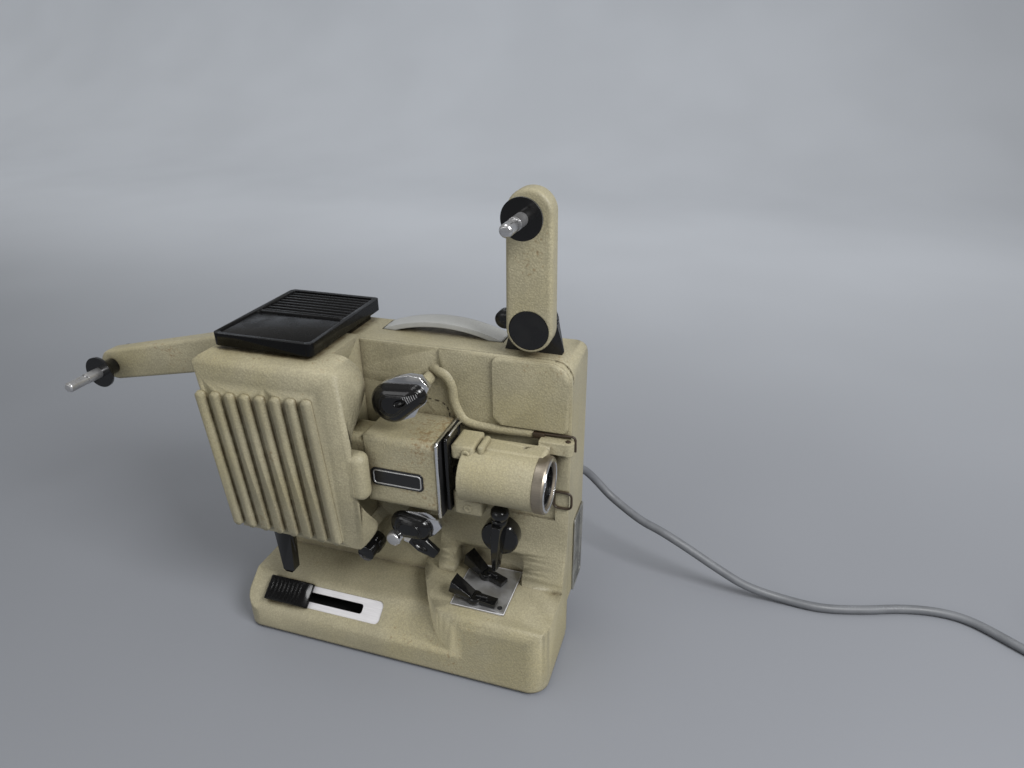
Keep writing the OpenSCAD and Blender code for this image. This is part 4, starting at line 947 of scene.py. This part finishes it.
def make_main_knob():
    disc = turned([(0, 0), (11.6, 0), (12.6, 0.4), (13, 1.4), (13, 9.4), (12.2, 10.6), (10.8, 11),
                   (0, 11)], (KNOB_X, -6, KNOB_Z), (0, -1, 0), 64)
    add_piece("main_knob_disc", disc, "main_knob", "black_gloss",
              ["main_knob"], 28)
    fin = sheet([(-5.2, 17), (5.2, 17), (4.6, 2), (2.8, -22.6), (0, -24), (-2.8, -22.6), (-4.6, 2)],
                -27.5, -16)
    for v in fin.verts:         # the near face is narrower, and its lower end leans back
        if v.co.y < -20:
            v.co.x *= 0.55
            if v.co.z < -10:
                v.co.y += 4.5
    add_knob_part("fin", round_edges(fin, 0.9))
    ball = turned([(0, 0), (4.6, 0), (5.4, 1), (5.4, 3), (4.9, 3.6), (5.6, 4.6), (6.4, 7),
                   (6.2, 9.4), (5, 11.4), (3, 12.5), (0, 12.9)], (0, -19, 15.5), (0, 0, 1), 40)
    add_knob_part("ball", ball)


def make_lever(name, pin, degrees):
    """A console lever: a tall sloping grip and a flat pointer with a ridge, on a hub."""
    grip = sharp_block((-17.6, -4.9, 1.6), (-1.5, 4.9, 12))
    for v in grip.verts:
        left, high = v.co.x < -8, v.co.z > 6
        v.co.z = GRIP_SLOPE[left, high]
        if not left:
            v.co.y *= 0.78
        elif high:
            v.co.x += 2.2
    pointer = sharp_block((-3.5, -3.7, 0.8), (15.6, 3.7, 4.6))
    for v in pointer.verts:
        if v.co.x > 5 and v.co.z > 2:
            v.co.z -= 1.0
    ridge = block((0.5, -1.3, 3), (9.5, 1.3, 6.2), 0.9)
    hub = turned([(0, 0), (5.4, 0), (5.6, 0.4), (5.6, 3.4), (4.8, 4.4), (0, 4.5)],
                 (0, 0, 0.3), (0, 0, 1), 40)
    for part, bm in (("grip", round_edges(grip, 1.5, 4)), ("pointer", round_edges(pointer, 0.8)),
                     ("ridge", ridge), ("hub", hub)):
        turn_about(bm, (0, 0, 0), "Z", degrees)
        bmesh.ops.translate(bm, vec=(*pin, LEVERS_Z), verts=bm.verts)
        add_piece(name + "_" + part, bm, name, "black_gloss", [name], 40)


def make_slider():
    """The ribbed speed slider, which runs on the sloping front."""
    knob = sheet([(-17.5, 0.3), (17.5, 0.3), (17.5, 2.6), (14.5, 4.6), (11.5, 6.2), (-15.6, 6.2),
                  (-17.5, 5)], -8.8, 8.8)
    stem = block((-3, -2.8, -12.7), (3, 2.8, 1), 0.2, 1)
    shapes = [round_edges(knob, 0.7), stem]
    for i in range(SLIDER_RIDGES):
        x = SLIDER_RIDGE_FIRST + i * SLIDER_RIDGE_PITCH
        shapes.append(block((x, -7.2, 5.6), (x + SLIDER_RIDGE_WIDTH, 7.2, 6.9), 0.5, 2))
    whole = joined(shapes)
    slope = Matrix.Translation(SLOPE_PLACE) @ Matrix.Rotation(math.radians(SLOPE_ANGLE), 4, "X")
    slope = slope @ Matrix.Translation(SLIDER_REST)
    bmesh.ops.transform(whole, matrix=slope, verts=whole.verts)
    add_piece("speed_slider_knob", whole, "speed_slider", "grille_black",
              ["speed_slider"])


def make_switch_marks():
    """The switch plate's bright edge and a plain dot beside the lower lever."""
    edge = [(PLATE_LEFT, PLATE_BACK), (PLATE_LEFT, PLATE_FRONT), (PLATE_RIGHT, PLATE_FRONT),
            (PLATE_RIGHT, PLATE_BACK), (PLATE_LEFT, PLATE_BACK)]
    edge = [(x, y, LEVERS_Z - 0.1) for x, y in edge]
    wires("switch_plate_edge", [edge], 0.3, "chassis", "bright_plate", fullness=1)
    dot = turned([(0, 0), (1.8, 0), (1.8, 0.12), (0, 0.14)], (80.4, -33.2, LEVERS_Z + 0.02),
                 (0, 0, 1), 24)
    add_piece("switch_dot", dot, "chassis", "black_dull")


make_main_knob()
make_lever("upper_lever", (61.8, -6), -19)
make_lever("lower_lever", (62, -31), -4)
make_slider()
make_switch_marks()


# ---------------------------------------------------------------- reel arms

ARM_NEAR, ARM_FAR = 4, 18
FEED_X, FEED_LOW, FEED_HIGH = 89.3, 241.5, 311.5
TAKEUP_X, TAKEUP_Z, TAKEUP_LENGTH, TAKEUP_SLOPE = -135, 199.5, 111.5, 12.2


def arm_shape(pivot, end, rounding):
    """A flat arm drawn round its two ends, which are given as (x, z, radius)."""
    return round_edges(sheet(around([pivot, end], 96), ARM_NEAR, ARM_FAR), rounding, 4)


def make_feed_arm():
    arm = arm_shape((FEED_X, FEED_LOW, 14.5), (FEED_X, FEED_HIGH, 14), 2.6)
    recess = turned([(0, 0), (12.6, 0), (12.6, 8), (0, 8)], (FEED_X, 6.6, FEED_LOW), (0, -1, 0), 64)
    add_piece("feed_arm_casting", carve(arm, recess), "feed_arm", "paint_fine",
              ["feed_arm"], 28)


def make_takeup_arm():
    slope = math.radians(TAKEUP_SLOPE)
    end = (TAKEUP_X - TAKEUP_LENGTH * math.cos(slope),
           TAKEUP_Z - TAKEUP_LENGTH * math.sin(slope), 12)
    arm = arm_shape((TAKEUP_X, TAKEUP_Z, 13.5), end, 2.8)
    add_piece("takeup_arm_casting", arm, "takeup_arm", "paint_fine", ["takeup_arm"], 28)


make_feed_arm()
make_takeup_arm()


# ---------------------------------------------------------------- floor and light

FLOOR_LEFT, FLOOR_RIGHT, FLOOR_FRONT = -7, 7, -4
SWEEP_START, SWEEP_RADIUS, SWEEP_STEPS, BACKDROP_TOP = 1.6, 1.2, 12, 1.5
# The backdrop's paler colours are painted light, paler still on the left.
FLOOR_NEAR, FLOOR_NEAR_LEFT = (0.210, 0.220, 0.243, 1), (0.203, 0.215, 0.238, 1)
LIT_BACKDROP_LEFT, LIT_BACKDROP_RIGHT = (0.615, 0.65, 0.71, 1), (0.56, 0.59, 0.645, 1)
SKY, SKY_STRENGTH, SKY_MIRRORED = (0.985, 0.98, 0.955, 1), 0.62, 0.28
AREA_LIGHTS = [    # name, place, target, size and power
    ("key", (0.85, -0.42, 0.95), (0, 0, 0.12), (0.5, 0.4), 14),
    ("ceiling", (-0.2, -0.1, 1.7), (0, 0, 0.15), (0.9, 0.5), 4),
    ("front_fill", (-0.7, -1.3, 0.6), (-0.1, 0, 0.15), (0.8, 0.5), 2.2)]


def floor_finish():
    """A floor whose colour carries painted light and shade: dark near the object, paler towards the
    backdrop and darker to the right.
    """
    f = Finish("pale_floor", Roughness=0.75, Specular_IOR_Level=0.15)
    place = f.add("SeparateXYZ", {0: f.where}).outputs
    # painted light: a paler backdrop, lightest on its left
    back = f.mix(f.ramp(place["X"], -1.3, 1.1), LIT_BACKDROP_LEFT, LIT_BACKDROP_RIGHT)
    near = f.mix(f.ramp(place["X"], 0.1, -0.9), FLOOR_NEAR, FLOOR_NEAR_LEFT)
    color = f.mix(f.ramp(place["Y"], 0.05, 1.35), near, back)
    cloudy = f.ramp(f.noise(f.where, 2.0, 2.0), 0.3, 0.7, 0.97, 1.03)
    # painted shade: darker towards the right
    cloud_and_shade = f.math("MULTIPLY", cloudy, f.ramp(place["X"], 0.3, 1.5, 1.0, 0.8))
    shaded = f.add("VectorMath", {0: color, "Scale": cloud_and_shade}, operation="SCALE").outputs[0]
    f.put("Base Color", shaded)
    return f.material


def make_stage():
    """A floor that sweeps up into a low backdrop."""
    profile = [(FLOOR_FRONT, 0), (SWEEP_START, 0)]
    for k in range(1, SWEEP_STEPS + 1):
        a = math.pi / 2 * k / SWEEP_STEPS
        profile.append((SWEEP_START + SWEEP_RADIUS * math.sin(a), SWEEP_RADIUS * (1 - math.cos(a))))
    profile.append((SWEEP_START + SWEEP_RADIUS, BACKDROP_TOP))
    bm = bmesh.new()
    line = [bm.verts.new((FLOOR_LEFT, y, z)) for y, z in profile]
    edges = [bm.edges.new(pair) for pair in zip(line, line[1:])]
    grown = bmesh.ops.extrude_edge_only(bm, edges=edges)["geom"]
    bmesh.ops.translate(bm, vec=(FLOOR_RIGHT - FLOOR_LEFT, 0, 0), verts=verts_of(grown))
    bmesh.ops.recalc_face_normals(bm, faces=bm.faces)
    mesh = bpy.data.meshes.new("floor")
    bm.to_mesh(mesh)
    bm.free()
    mesh.shade_smooth()
    mesh.materials.append(floor_finish())
    add_object("floor", mesh)


def area_light(name, place, target, size, power):
    light = bpy.data.lights.new(name, "AREA")
    light.shape = "RECTANGLE"
    light.size, light.size_y = size
    light.energy = power
    aim = (Vector(target) - Vector(place)).to_track_quat("-Z", "Y").to_matrix().to_4x4()
    add_object(name, light).matrix_world = Matrix.Translation(place) @ aim


def make_light():
    """A pale sky, dimmer where shiny faces mirror it, and three area lights."""
    world = bpy.data.worlds.new("studio")
    world.use_nodes = True
    tree = Tree(world.node_tree)
    sky = world.node_tree.nodes["Background"]
    sky.inputs["Color"].default_value = SKY
    mirrored = tree.add("LightPath").outputs["Is Glossy Ray"]
    tree.join(tree.ramp(mirrored, 0.0, 1.0, SKY_STRENGTH, SKY_MIRRORED), sky.inputs["Strength"])
    bpy.context.scene.world = world
    for light in AREA_LIGHTS:
        area_light(*light)


make_stage()
make_light()
bpy.context.scene.view_settings.view_transform = "Standard"
